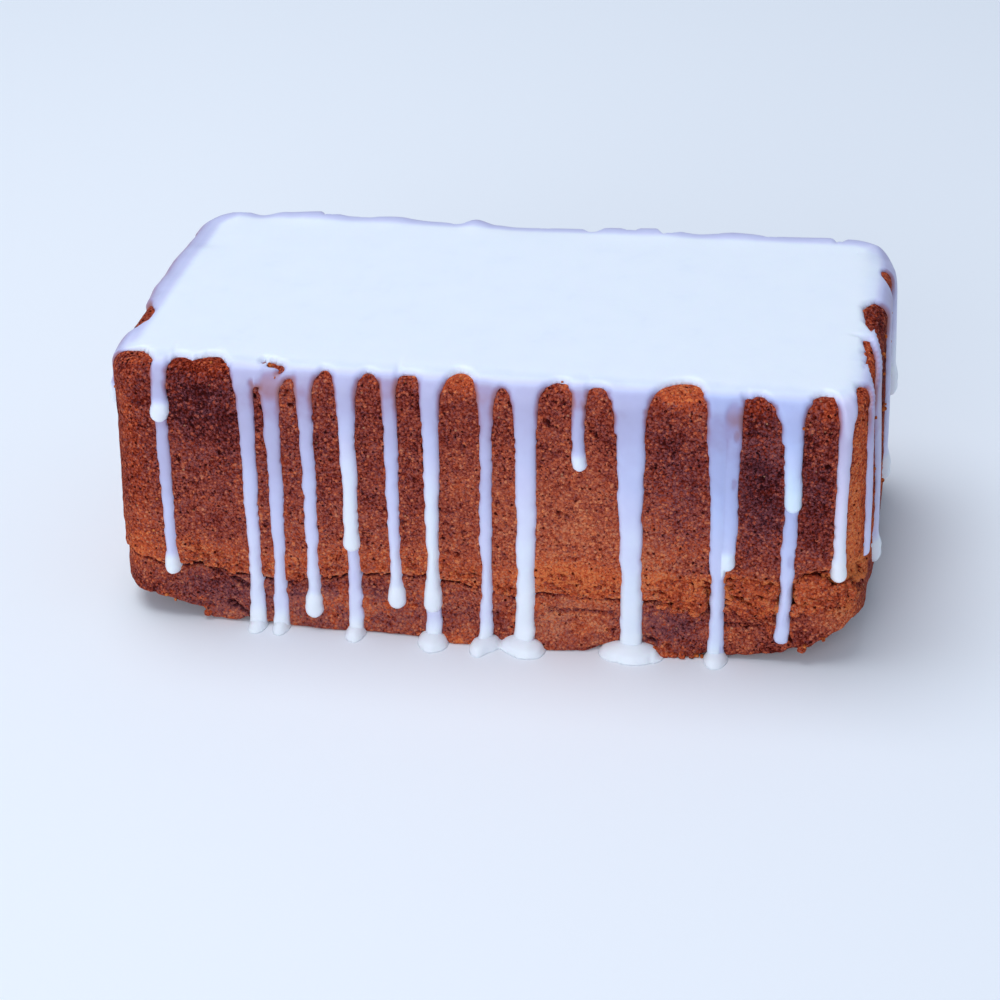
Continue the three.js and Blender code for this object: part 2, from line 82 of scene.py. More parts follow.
EDGE_BOTTOM = HEIGHT - TOP_EDGE_RADIUS + TOP_EDGE_RADIUS * math.sin(FLARE)

# Height of the sponge's bottom edge above the plate, and of the crack round its lower side, along the front
FRONT_BOTTOM = [
    (-112, 8), (-104, 7.2), (-97, 5.3), (-90.5, 4.2), (-87, 0.6), (-80, 0.2), (-76, 1.6), (-70, 0.5),
    (-62, 0), (30, 0), (34, 1.2), (38, 3), (44, 3.2), (48, 1.4), (50.5, 0), (58, 0), (61, 0.6), (66, 1.3),
    (72, 1), (80, 2.3), (86, 3), (89, 5.4), (94, 5.9), (97, 8.5), (102, 11.2), (107, 13.5),
]
FRONT_CRACK = [
    (-110, 21), (-95, 19), (-90, 20), (-84, 18.5), (-75, 17), (-60, 16.5), (-50, 19), (-38, 20.5),
    (-22, 22), (-5, 19.5), (7, 16.5), (16, 18.7), (38, 18), (50, 18), (62, 18.5), (70, 19.5), (85, 18),
    (95, 22.5), (107, 24),
]
# The same along the other sides, at parts of the way from the front's right corner round to its left one
REST_BOTTOM = [
    (0.03, 13), (0.1, 9), (0.2, 11), (0.25, 8), (0.33, 1), (0.4, 0), (0.62, 0), (0.68, 1.5), (0.76, 8),
    (0.82, 10), (0.9, 7), (0.97, 8.5),
]
REST_CRACK = [
    (0.03, 24), (0.12, 20), (0.22, 22), (0.35, 18), (0.5, 21), (0.65, 18), (0.78, 21), (0.9, 18.5),
    (0.97, 20),
]
# How far the soft loaf has spread on the plate, along the front and then round the other sides
FRONT_SPREAD = [
    (-100, 0), (-62, 0.6), (-50, 1.2), (-42, 0.8), (-22, 1.2), (-16, 2), (-11, 3.6), (-4, 3), (1, 0.6),
    (6, 0.6), (13, 2.2), (16, 3), (28, 2.2), (33, 0.2), (48, 0.4), (51, 2), (54, 1), (58, 1.4), (62, 0.2),
    (70, 0),
]
REST_SPREAD = [(0.3, 0), (0.45, 1.2), (0.6, 0.8), (0.7, 0)]
SPREAD_HEIGHT = 9.0
# How far the left end stands out and how much more lower down, and how far the right corner stands in
LEFT_BULGE = (0.3, 1.2)
CORNER_DIP = (0.8, 0.3)
CORNER_DIP_WIDTH = 13.0

# How a drip ends
BULB = "bulb"
FOOT = "foot"  # runs out on the plate
TIP = "tip"

# Drips on the front: x near the top, halfway and at the end; width at the same three places; height of the
# end; width of the bulb or of the pool there; thickness; ending
FRONT_DRIPS = [
    (-96.0, -96.7, -96.7, 5.0, 4.9, 4.9, 69.2, 5.4, 1.5, BULB),
    (-70.4, -71.4, -72.4, 5.4, 4.7, 4.5, 0, 5.6, 1.05, FOOT),
    (-63.0, -63.7, -65.1, 5.4, 4.6, 4.2, 0, 5.2, 0.85, FOOT),
    (-53.0, -53.4, -54.6, 4.7, 4.4, 4.2, 4.2, 5.7, 1.0, BULB),
    (-40.9, -41.2, -41.7, 5.5, 4.8, 4.7, 28.5, 5.4, 1.6, BULB),
    (-28.1, -28.6, -28.8, 4.5, 4.2, 3.9, 9.5, 5.3, 1.1, BULB),
    (-16.5, -17.0, -17.9, 5.5, 4.5, 4.5, 9.0, 5.5, 1.5, BULB),
    (-0.4, -1.1, -1.8, 4.2, 4.0, 3.9, 0, 9, 0.95, FOOT),
    (10.9, 10.8, 9.9, 6.9, 6.4, 6.1, 0, 14, 1.35, FOOT),
    (26.0, 26.1, 26.4, 3.9, 3.7, 3.8, 61.8, 4.3, 1.3, BULB),
    (40.5, 41.2, 42.1, 8.8, 7.3, 6.4, 0, 19, 1.25, FOOT),
    (65.6, 66.3, 67.0, 7.0, 4.9, 4.3, 0, 7.5, 0.85, FOOT),
    (69.3, 69.4, 69.3, 5.0, 4.8, 4.5, 31.4, 4.6, 0.8, BULB),
    (85.9, 86.9, 87.0, 6.1, 4.7, 4.6, 52.6, 4.9, 1.7, BULB),
    (101.2, 100.9, 101.5, 4.8, 4.1, 4.2, 28.8, 5.2, 1.45, BULB),
]
# Runs that go on below a bulb: x at the top and at the end, width, heights of the top and the end, end width,
# thickness, ending
FRONT_RUNS = [
    (-96.2, -98.1, 4.1, 73, 15.6, 5.2, 0.75, BULB),
    (-40.8, -41.8, 4.4, 33, 0, 6.5, 0.85, FOOT),
    (-17.6, -17.6, 4.6, 12, 0, 9.5, 0.8, FOOT),
    (87.2, 86.1, 4.2, 57, 7.0, 3.4, 0.8, TIP),
]
# Windows between the drips, where the crust shows nearly up to the flat top: x and q of the tip, x of the
# arch's left and right feet, and how blunt each side is (2 is an ellipse)
FRONT_WINDOWS = [
    (-108, -2.8, -121, -98.0, 2, 7), (-91, -1.3, -93.8, -81, 5, 2), (-79.6, -2.4, -91.5, -72.9, 2.6, 1.3),
    (-67.1, 8.4, -68.2, -65.4, 2, 2), (-57.5, 5.0, -60.4, -55.3, 2, 3), (-47.3, 1.3, -50.8, -43.5, 2, 2),
    (-34.7, 1.5, -38.3, -30.2, 2, 2.6), (-23.3, 1.7, -26.3, -19.0, 6, 4), (-8.3, -1.5, -13.8, -2.4, 2, 2),
    (4.3, 4.0, 1.6, 7.7, 2, 2), (19.8, 0.9, 14.2, 24.4, 2.2, 3.6), (31.5, 1.7, 27.8, 36.2, 6, 2),
    (56, -2.7, 44.7, 62.4, 2.4, 1.8), (75.7, 1.7, 71.6, 82.9, 3.4, 2), (94, -0.5, 88.4, 99, 2.4, 5),
]
ARCH_FOOT = 15.0  # q at which the arches end and the drips' own sides go on
# Small holes in the icing over a rough spot: x, q and radius
FRONT_HOLES = [(-61.2, 2.0, 2.0), (-63.4, 0.2, 1.5), (-65.6, -0.6, 1.0)]
# Thin spots in the icing: x, height, half-width, half-height and how much thinner
FRONT_THIN_SPOTS = [
    (70.4, 76.5, 0.7, 1.9, 0.4), (70.2, 61, 0.8, 2.2, 0.4), (87.4, 36.5, 1.1, 2.4, 0.35),
    (-62.6, 83.5, 3.4, 4.5, 0.5), (-53, 84.5, 3.6, 3.2, 0.25), (-28.5, 84.8, 4.2, 3.2, 0.28),
    (-1.5, 84.8, 4.6, 3.0, 0.35), (26, 84.8, 4.4, 3.0, 0.38), (69.5, 83, 2.6, 3.4, 0.35),
    (102, 83, 3.0, 6.0, -0.3), (97.5, 84, 2.0, 3.0, 0.3), (-96.5, 84, 3.0, 3.0, 0.15),
]
# The same at the right end, by y
RIGHT_DRIPS = [
    (-42.2, -41.3, -41.6, 4.6, 4.2, 3.4, 32, 3.4, 0.9, TIP),
    (-26.5, -19, -19, 10, 6.0, 5.0, 15, 6.2, 0.8, BULB),
    (15, 22.5, 19.5, 9, 7.5, 6.0, 19, 6.4, 0.9, BULB),
    (40, 41, 41, 13.0, 9.0, 8.0, 37.5, 7.6, 1.6, BULB),
]
# The same round the back's corners, by x
BACK_CORNER_DRIPS = [
    (-SIDE_X - 11, -SIDE_X - 11, -SIDE_X - 11, 8, 5.5, 5.0, 38, 5.4, 1.2, BULB),
    (SIDE_X + 4, SIDE_X + 5, SIDE_X + 5, 15, 7.5, 5.5, 52, 6.0, 1.3, BULB),
]
# Where each of the right end's drips leaves the top, from which it slants: y and width
RIGHT_ROOTS = [(-27, 9), (-7, 9), (15, 9), (40, 13)]
RIGHT_WINDOWS = [
    (-38.5, 1.0, -52.5, -36, 2.5, 2), (-13, 0.3, -41, -11.5, 2, 3), (5, -1.4, -19, 14.5, 1.5, 2),
    (31, 2.6, 22.2, 34, 2, 2),
]
LEFT_DRIPS = [
    (40, 40.5, 41, 6.0, 4.6, 4.2, 30, 5.0, 1.2, BULB),
    (22, 21.5, 21, 5.6, 4.6, 4.2, 13.5, 5.4, 1.0, BULB),
    (6, 5.5, 5, 7.0, 5.4, 5.0, 48, 5.6, 1.4, BULB),
    (-6, -6.2, -6.5, 5.0, 4.2, 3.8, 11, 4.8, 1.0, BULB),
    (-37.5, -38.2, -38.6, 7.0, 5.0, 4.6, 67, 5.8, 0.9, BULB),
]
LEFT_WINDOWS = [
    (31, 5.5, 37, 24.8, 2, 2), (13, 6.5, 19.2, 9.5, 2, 2), (0, 6, 2.5, -3.5, 2, 2),
    (-21.5, 0.2, -9.5, -35.5, 3, 2),
]
# How much higher than usual the icing's rim lies, along the back and the front by x, along the ends by y
BACK_RIM = [
    (-106, 0.3), (-99, 0.6), (-92, -0.5), (-84, 1.0), (-72, 1.7), (-62, 0.5), (-48, 1.1), (-36, 0.1),
    (-28, -0.1), (-22, 1.4), (-15, -0.1), (-9, -0.5), (12, 0.0), (22, 0.85), (37, 1.35), (49, 0.15),
    (60, 1.2), (74, 0.6), (90, 0.95), (107, 0.4),
]
LEFT_RIM = [
    (44, 0.1), (27, 0.3), (13, 1.0), (6, 0.55), (-2, 1.0), (-9, 0.2), (-17, -0.35), (-30, 0.0), (-42, -0.9),
]
RIGHT_RIM = [(-30, 0.0), (20, 0.0), (32, -0.9), (42, -1.6)]
FRONT_RIM = [(-95, 0.0), (95, 0.0)]
BACK_DRIP_COUNT = 14
BACK_PLATE_REACH = 62  # drips within this x of the middle may reach the plate

# The camera looks at the front from above, a little from the right; it aims at a point in the loaf
CAMERA_YAW = math.radians(10.29)
CAMERA_PITCH = math.radians(34.17)
CAMERA_ROLL = math.radians(-1.94)
CAMERA_TARGET = (-6.1, 0.0, 14.6)
CAMERA_DISTANCE = 669.8
CAMERA_LENS = 75.6
CAMERA_SENSOR = 36.0
# Lights, in metres and watts: name, place, width, power and colour
LIGHTS = [
    ("overhead_softbox", (-0.4, 0.1, 1.6), 1.2, 15.0, (0.90, 0.95, 1.0)),
    ("front_softbox", (-0.3, -1.4, 0.5), 1.2, 8.5, (0.92, 0.95, 1.0)),
]
LIGHT_TARGET = (0.0, 0.0, 0.05)
WORLD_COLOUR = (0.70, 0.82, 1.0, 1.0)
WORLD_STRENGTH = 0.45
FLOOR_HALF = 6.0  # half of the floor's width, in metres


# ---- noise

def eased(part):
    """Turns an even step from 0 to 1 into one that starts and ends softly."""
    return part * part * (3.0 - 2.0 * part)


def smooth(low, high, value):
    """0 below low, 1 above high, eased between."""
    return eased(np.clip((value - low) / (high - low), 0.0, 1.0))


def bell(value, centre, width):
    """1 at the centre, falling off on both sides."""
    return np.exp(-((value - centre) / width) ** 2)


def hashed(cell, seed):
    """An even random number from 0 to 1 for each whole-numbered cell (n, 3)."""
    cell = cell.astype(np.int64)
    n = cell[..., 0] * 374761393 + cell[..., 1] * 668265263 + cell[..., 2] * 1440662683 + seed * 1013904223
    n = n.astype(np.uint32)
    n = (n ^ (n >> np.uint32(13))) * np.uint32(1274126177)
    n = (n ^ (n >> np.uint32(16))) * np.uint32(2246822519)
    n = n ^ (n >> np.uint32(15))
    return n.astype(np.float64) / 4294967295.0


def lattice_noise(points, size, seed):
    """Smooth noise from -1 to 1 with features of a given size."""
    scaled = points / size
    cell = np.floor(scaled)
    part = eased(scaled - cell)
    total = 0.0
    for corner in np.ndindex(2, 2, 2):
        weight = 1.0
        for axis in range(3):
            weight = weight * (part[..., axis] if corner[axis] else 1.0 - part[..., axis])
        total = total + weight * hashed(cell + np.array(corner), seed)
    return 2.0 * total - 1.0


def fractal(points, size, octaves, seed):
    """Noise with finer and fainter octaves, about -1 to 1."""
    total, strength = 0.0, 0.0
    for octave in range(octaves):
        weight = 0.55 ** octave
        total = total + weight * lattice_noise(points + 17.3 * octave, size / 2 ** octave, seed + octave)
        strength += weight
    return total / strength


def nearest_seed(points, size, seed):
    """Distance to the nearest of the seeds scattered one to a cell, and that seed's own random number."""
    scaled = points / size
    cell = np.floor(scaled)
    best = np.full(points.shape[:-1], 9.0)
    chosen = np.zeros(points.shape[:-1])
    for offset in np.ndindex(3, 3, 3):
        other = cell + np.array(offset) - 1.0
        place = other + np.stack([hashed(other, seed + axis) for axis in range(3)], axis=-1)
        distance = np.linalg.norm(scaled - place, axis=-1)
        closer = distance < best
        best = np.where(closer, distance, best)
        chosen = np.where(closer, hashed(other, seed + 7), chosen)
    return best * size, chosen


def random_of(seed):
    """An even random number from 0 to 1 that depends only on its seed, as the CAD model's has it."""
    value = math.sin(seed * 12.9898 + 4.1414) * 43758.5453
    return value - math.floor(value)


# ---- the skin

def outline(u):
    """Point and outward normal of the loaf's outline at u, before the skew."""
    u = np.mod(u, PERIMETER)
    x, y, nx, ny = (np.zeros_like(u) for _ in range(4))
    start = 0.0
    for sx, sy, dx, dy, length in STRETCHES:
        along = u - start
        straight = (along >= 0) & (along <= length)
        x = np.where(straight, sx + dx * along, x)
        y = np.where(straight, sy + dy * along, y)
        nx = np.where(straight, dy, nx)
        ny = np.where(straight, -dx, ny)
        turn = (along - length) / CORNER_RADIUS
        corner = (along > length) & (along < length + ARC)
        cnx = dy * np.cos(turn) + dx * np.sin(turn)
        cny = -dx * np.cos(turn) + dy * np.sin(turn)
        x = np.where(corner, sx + dx * length - dy * CORNER_RADIUS + cnx * CORNER_RADIUS, x)
        y = np.where(corner, sy + dy * length + dx * CORNER_RADIUS + cny * CORNER_RADIUS, y)
        nx = np.where(corner, cnx, nx)
        ny = np.where(corner, cny, ny)
        start += length + ARC
    return x, y, nx, ny


def profile(q):
    """The side's profile at q: how far out from the mid-height outline, how high, and its normal."""
    bend_z = HEIGHT - TOP_EDGE_RADIUS
    bend_out = math.tan(FLARE) * (HEIGHT / 2 - bend_z) - TOP_EDGE_RADIUS / math.cos(FLARE)
    angle = np.clip(math.pi / 2 - q / TOP_EDGE_RADIUS, FLARE, math.pi / 2)
    below = np.maximum(q - EDGE_ARC, 0.0)
    out = bend_out + TOP_EDGE_RADIUS * np.cos(angle) + below * math.sin(FLARE) + np.minimum(q, 0.0)
    z = bend_z + TOP_EDGE_RADIUS * np.sin(angle) - below * math.cos(FLARE)
    return out, z, np.cos(angle), np.sin(angle)


def skin(u, q, h):
    """Points (n, 3) at the places (u, q), h above the skin."""
    x, y, nx, ny = outline(u)
    out, z, n_out, n_z = profile(q)
    reach = out + n_out * h + settled(u, z) * smooth(-6.0, 2.0, q)
    px, py = x + nx * reach, y + ny * reach
    return np.stack(np.broadcast_arrays(px + SKEW * py, py, z + n_z * h), axis=-1)


def depth_of(z):
    """q of a height on the wall."""
    return EDGE_ARC + (EDGE_BOTTOM - z) / math.cos(FLARE)


def height_of(q):
    return profile(q)[1]


def front_at(x):
    return x + SIDE_X + SKEW * WIDTH / 2


def right_at(y):
    return RIGHT_START + y + SIDE_Y


def back_at(x):
    return BACK_START + SIDE_X - x


def left_at(y):
    return LEFT_START + SIDE_Y - y


def by_side(front, right, back, left):
    """Each side's values with the function that turns the side's own x or y into u."""
    return (front, front_at), (right, right_at), (back, back_at), (left, left_at)


def front_x(u):
    """x on the front face at u, which goes on past the face's ends."""
    centred = np.mod(u + PERIMETER / 2, PERIMETER) - PERIMETER / 2
    return centred - SIDE_X - SKEW * WIDTH / 2


def front_mask(x, far, near):
    """1 on the front face, fading out between two distances from its middle."""
    return smooth(-far, -near, x) * smooth(far, near, x)


def around(u, centre):
    """The shorter way round the loaf from centre to u."""
    return np.mod(u - centre + PERIMETER / 2, PERIMETER) - PERIMETER / 2


def loop_through(points):
    """A closed curve through (u, value) points, eased between them."""
    points = sorted((u % PERIMETER, value) for u, value in points)
    us = np.array([points[-1][0] - PERIMETER] + [u for u, _ in points] + [points[0][0] + PERIMETER])
    values = np.array([points[-1][1]] + [value for _, value in points] + [points[0][1]])

    def at(u):
        place = np.mod(u, PERIMETER)
        low = np.clip(np.searchsorted(us, place, side="right") - 1, 0, len(us) - 2)
        part = eased((place - us[low]) / (us[low + 1] - us[low]))
        return values[low] + (values[low + 1] - values[low]) * part

    return at


def front_and_rest(front, rest):
    """A closed curve from values along the front's x and values at parts of the way round the other sides."""
    first = front_at(front[0][0]) + PERIMETER
    last = front_at(front[-1][0])
    along = [(front_at(x), value) for x, value in front]
    return loop_through(along + [(last + (first - last) * part, value) for part, value in rest])


bottom_at = front_and_rest(FRONT_BOTTOM, REST_BOTTOM)
crack_at = front_and_rest(FRONT_CRACK, REST_CRACK)
rim_at = loop_through([
    (at(place), height)
    for rim, at in by_side(FRONT_RIM, RIGHT_RIM, BACK_RIM, LEFT_RIM)
    for place, height in rim
])
spread_at = front_and_rest(FRONT_SPREAD, REST_SPREAD)


def settled(u, z):
    """How far the loaf stands out from the tin's form: it spread on the plate, and its ends are uneven."""
    low = smooth(75.0, 25.0, z)
    left = np.mod(u + 12.0, PERIMETER)
    on_left = np.maximum(smooth(12.0, 2.0, left), smooth(LEFT_START - 8.0, LEFT_START + 12.0, left))
    corner = np.exp(-(around(u, RIGHT_START + 1.0) / CORNER_DIP_WIDTH) ** 4)
    spread = spread_at(u) * smooth(SPREAD_HEIGHT, 0.0, z)
    bulge = LEFT_BULGE[0] + LEFT_BULGE[1] * low
    dip = CORNER_DIP[0] + CORNER_DIP[1] * low
    return spread + on_left * bulge - corner * dip


# ---- meshes

def linked(name, data):
    """A new object in the scene."""
    made = bpy.data.objects.new(name, data)
    bpy.context.scene.collection.objects.link(made)
    return made


def make_object(name, points, faces, attributes=None):
    """A mesh object from points in millimetres, faces of any size and point attributes."""
    mesh = bpy.data.meshes.new(name)
    places = points * MM + np.array([BASE.x, BASE.y, 0.0])
    mesh.from_pydata(places.tolist(), [], faces)
    for key, values in (attributes or {}).items():
        layer = mesh.attributes.new(key, "FLOAT", "POINT")
        layer.data.foreach_set("value", np.ascontiguousarray(values, dtype=np.float32))
    mesh.validate()
    mesh.update()
    mesh.shade_smooth()
    return linked(name, mesh)


def uneven_stations(fine, coarse):
    """Places round the loaf, finer along the front and its corners than elsewhere."""
    front_end = 2 * SIDE_X + ARC
    rest_end = PERIMETER - ARC
    front = np.linspace(-ARC, front_end, int((front_end + ARC) / fine), endpoint=False)
    rest = np.linspace(front_end, rest_end, int((rest_end - front_end) / coarse), endpoint=False)
    return np.concatenate([front, rest])


# ---- sponge

SPONGE_FINE = 0.63
SPONGE_COARSE = 1.15
ROWS_ABOVE_CRACK = 76
ROWS_BELOW_CRACK = 27
BOTTOM_RADIUS = 0.9
BOTTOM_ANGLES = (30, 60, 90)  # of the rings round it, in degrees
FIRST_RING_Q = -6.0
PIT_SPACING = 2.3
PIT_DEPTH = 0.8
CRACK_HALF_WIDTH = 0.5
BAND_HEIGHT = 13.0  # how far above the crack the crust is torn
RUBBLE_HEIGHT = 12.0  # the same at the front's right, where it has broken up into clods
RUBBLE_END = (125.0, 108.0)  # x at which the clods have ended, and where they start to fade out
RELIEF_LIMITS = (-3.4, 0.45)
# The sponge stays well under the icing: how far inside the icing's footprint a place lies, and how high its
# relief may be there
COVER = [-1.0, 0.0, 2.0]
RELIEF_UNDER_COVER = [0.5, -0.35, -1.0]
# Rings of the underside: inset from the wall, parts of x and y, part of the bottom edge's lift
UNDER_ROWS = [
    (4, 1, 1, 0.97), (8, 1, 1, 0.9), (10, 0.97, 0.96, 0.8), (10, 0.88, 0.86, 0.5), (10, 0.78, 0.75, 0.25),
    (10, 0.66, 0.64, 0.08), (10, 0.52, 0.5, 0), (10, 0.2, 0.18, 0),
]
# Small cracks on the front besides the main one: x and z of both ends, and depth
FINE_CRACKS = [
    (-93, 20.5, -87, 21.5, 1.0), (-80, 15.5, -72, 11.5, 1.5), (-88, 19, -80, 15.5, 1.0),
    (-81, 6.5, -74, 2.6, 1.8), (18, 12.8, 36, 13.4, 1.2), (69, 12, 81, 12.6, 1.0), (88.5, 8, 86, 15, 1.6),
    (45, 5.6, 53, 3.4, 1.4), (-93, 6, -87, 5, 1.0), (-33, 38, -25, 40.5, 0.7), (-12.5, 8, -7, 10, 1.0),
    (14, 62, 24, 71, 0.5), (-13, 41, -3, 36, 0.6), (28, 6.5, 37, 7.5, 0.8), (49, 22, 60, 20.5, 1.2),
    (92, 27, 101, 30, 0.9),
]
# Single pits on the front: x, z, radius and depth
PITS = [
    (2.5, 49, 0.9, 1.3), (17, 77, 0.9, 1.2), (-92, 27, 0.8, 1.2), (96, 68, 0.9, 1.4), (95, 23, 1.0, 1.5),
    (-67.6, 79.5, 0.8, 1.4), (-57.5, 81.5, 0.9, 1.3), (-57, 77.5, 0.7, 1.2), (-7, 67, 0.7, 1.0),
    (31, 74, 0.7, 1.0), (20.5, 47, 0.9, 1.1), (22.5, 46.5, 0.7, 1.0), (52, 78, 0.7, 1.0),
    (-92.5, 57, 0.7, 1.2), (30.5, 39, 0.8, 1.0), (78, 60, 0.6, 0.8), (-46, 44, 0.6, 0.9),
    (-10, 30, 0.9, 1.0),
]


def line_distance(x, z, x0, z0, x1, z1):
    """Distance from (x, z) to a straight line between two points."""
    dx, dz = x1 - x0, z1 - z0
    part = np.clip(((x - x0) * dx + (z - z0) * dz) / (dx * dx + dz * dz), 0.0, 1.0)
    return np.hypot(x - x0 - part * dx, z - z0 - part * dz)


def crack_line(u):
    """Height of the main crack, with its small zigzags."""
    points = skin(u, np.full_like(u, 65.0), 0.0)
    zigzag = 0.9 * lattice_noise(points, 5.5, 31) + 0.75 * lattice_noise(points, 2.4, 32)
    return crack_at(u) + zigzag + 0.4 * lattice_noise(points, 1.3, 34)


def crack_open(u, points):
    """How far the main crack gapes: least at the front's corners."""
    x = front_x(u)
    corner = smooth(99.0, 106.0, np.abs(x)) * smooth(122.0, 112.0, np.abs(x))
    flat = points * np.array([1.0, 1.0, 0.0])
    return (0.15 + 0.85 * smooth(-0.45, 0.5, lattice_noise(flat, 12.0, 51))) * (1.0 - 0.75 * corner)


def torn(points, size, seed, level):
    """Sharp-edged patches torn out of the crust: 0 where it stands, 1 in the holes."""
    return smooth(level, level + 0.25, fractal(points, size, 3, seed))


def fine_marks(x, z, points):
    """Depth of the fine cracks and the pits of the front."""
    wander = 0.8 * lattice_noise(points, 3.0, 71) + 0.4 * lattice_noise(points, 1.2, 72)
    depth = np.zeros_like(x)
    for x0, z0, x1, z1, most in FINE_CRACKS:
        depth += most * bell(line_distance(x, z, x0, z0, x1, z1) + wander, 0.0, 0.6)
    for pit_x, pit_z, radius, most in PITS:
        reach = np.hypot(x - pit_x, z - pit_z) / radius
        depth += most * smooth(1.25, 0.35, reach + 0.4 * wander)
    return front_mask(x, 114.0, 108.0) * depth


def crumb_relief(u, z, line, points):
    """How far the sponge's surface lies above the skin, which is below it nearly everywhere."""
    x = front_x(u)
    above = z - line
    below = smooth(0.1, -0.4, above)
    open_part = crack_open(u, points)
    relief = -0.12 - 0.22 * (1.0 + fractal(points, 30.0, 2, 1))
    relief += (0.3 - 0.12 * below) * fractal(points, 2.1, 3, 2)
    distance, own = nearest_seed(points, PIT_SPACING, 3)
    relief -= PIT_DEPTH * smooth(0.25 + 0.5 * own, 0.1, distance) * (own > 0.55) * (1.0 - 0.7 * below)

    band = smooth(BAND_HEIGHT, 4.0, above) * (1.0 - below)
    rubble = smooth(50.0, 66.0, x) * smooth(*RUBBLE_END, x)
    rugged = 0.28 + 0.25 * lattice_noise(points, 22.0, 33) + 0.8 * rubble
    stretched = points * np.array([0.55, 0.55, 1.0])
    relief -= band * rugged * (1.1 * torn(stretched, 2.6, 41, 0.02) + 0.5 * torn(points, 1.7, 43, 0.05))
    deep = smooth(-5.0, -2.0, above) * smooth(RUBBLE_HEIGHT, 8.0, above) * rubble
    relief -= deep * (2.3 * torn(stretched, 4.4, 47, 0.0) + 1.1 * torn(points, 2.0, 49, 0.05))
    relief += deep * (0.6 * torn(points, 4.6, 48, 0.0) - 0.3 - 0.5 * fractal(points, 1.8, 2, 50))

    lip = bell(above, 1.0, 1.1) * (1.0 - below)
    relief += 0.4 * lip * open_part
    relief -= (0.3 + 1.7 * open_part) * bell(above, -0.35, CRACK_HALF_WIDTH)
    lower = smooth(-8.0, -0.5, above)
    relief -= below * (0.15 + 0.5 * lower * open_part + 0.3 * fractal(stretched, 4.5, 2, 62))
    relief -= below * 0.5 * torn(stretched, 3.6, 64, 0.22)
    return np.clip(relief - fine_marks(x, z, points), *RELIEF_LIMITS)


# Darker and lighter places of the front's crust: x, z, half-widths along x and z, and how much lighter
TONE_PATCHES = [
    (-84, 76, 15, 16, -0.19), (-85, 52, 14, 14, -0.03), (78, 60, 8, 20, -0.25), (94, 56, 7, 26, -0.16),
    (22, 42, 24, 26, 0.24), (48, 32, 9, 9, 0.16), (-8, 57, 9, 9, 0.10), (15, 50, 9, 12, 0.05),
    (54, 60, 9, 18, -0.1), (52, 9, 9, 7, -0.16), (-82, 10, 10, 6, -0.12), (-40, 9, 26, 7, -0.04),
    # The lightening at x 105.5 and 106 is a painted highlight down the rounded right corner.
    (24, 9, 13, 9, 0.24), (-104, 76, 5, 6, -0.04), (105.5, 55, 4.6, 42, 0.4), (106, 22, 8, 8, 0.25),
    # These two are painted light on the crust that faces up at the tips of windows.
    (56, 86.5, 9, 2.4, 0.2), (-8, 87, 5, 3, 0.12),
]
# Places where the crust is redder, and where it is smooth with a purplish sky sheen painted on: x, z,
# half-widths and, where it isn't 1, how much
RED_PATCHES = [
    # The first, on the right corner, gives that corner's painted highlight its orange.
    (106, 50, 6, 40), (-107, 55, 5, 34), (56, 87, 10, 3.5), (-8, 87, 5, 3), (-82, 87, 8, 3), (76, 84, 4, 2.5),
    (96, 85, 4, 2.5), (25, 26, 16, 7),
]
SMOOTH_SHEEN_PATCHES = [
    (78, 60, 9, 22, 0.9), (94, 52, 6, 18, 0.5), (-50, 10, 36, 9), (-84, 10, 12, 8), (52, 10, 12, 8),
    (20, 8, 18, 8, 0.5), (-62, 52, 46, 34, 0.25), (-84, 76, 14, 12, 0.4), (54, 56, 10, 24, 0.45),
]


def patch_sum(patches, x, z):
    """The sum of soft oval patches, each x, z, half-widths and, where it has one, a strength."""
    total = 0.0
    for px, pz, wide, high, *strength in patches:
        weight = strength[0] if strength else 1.0
        total = total + weight * np.exp(-((x - px) / wide) ** 2 - ((z - pz) / high) ** 2)
    return total


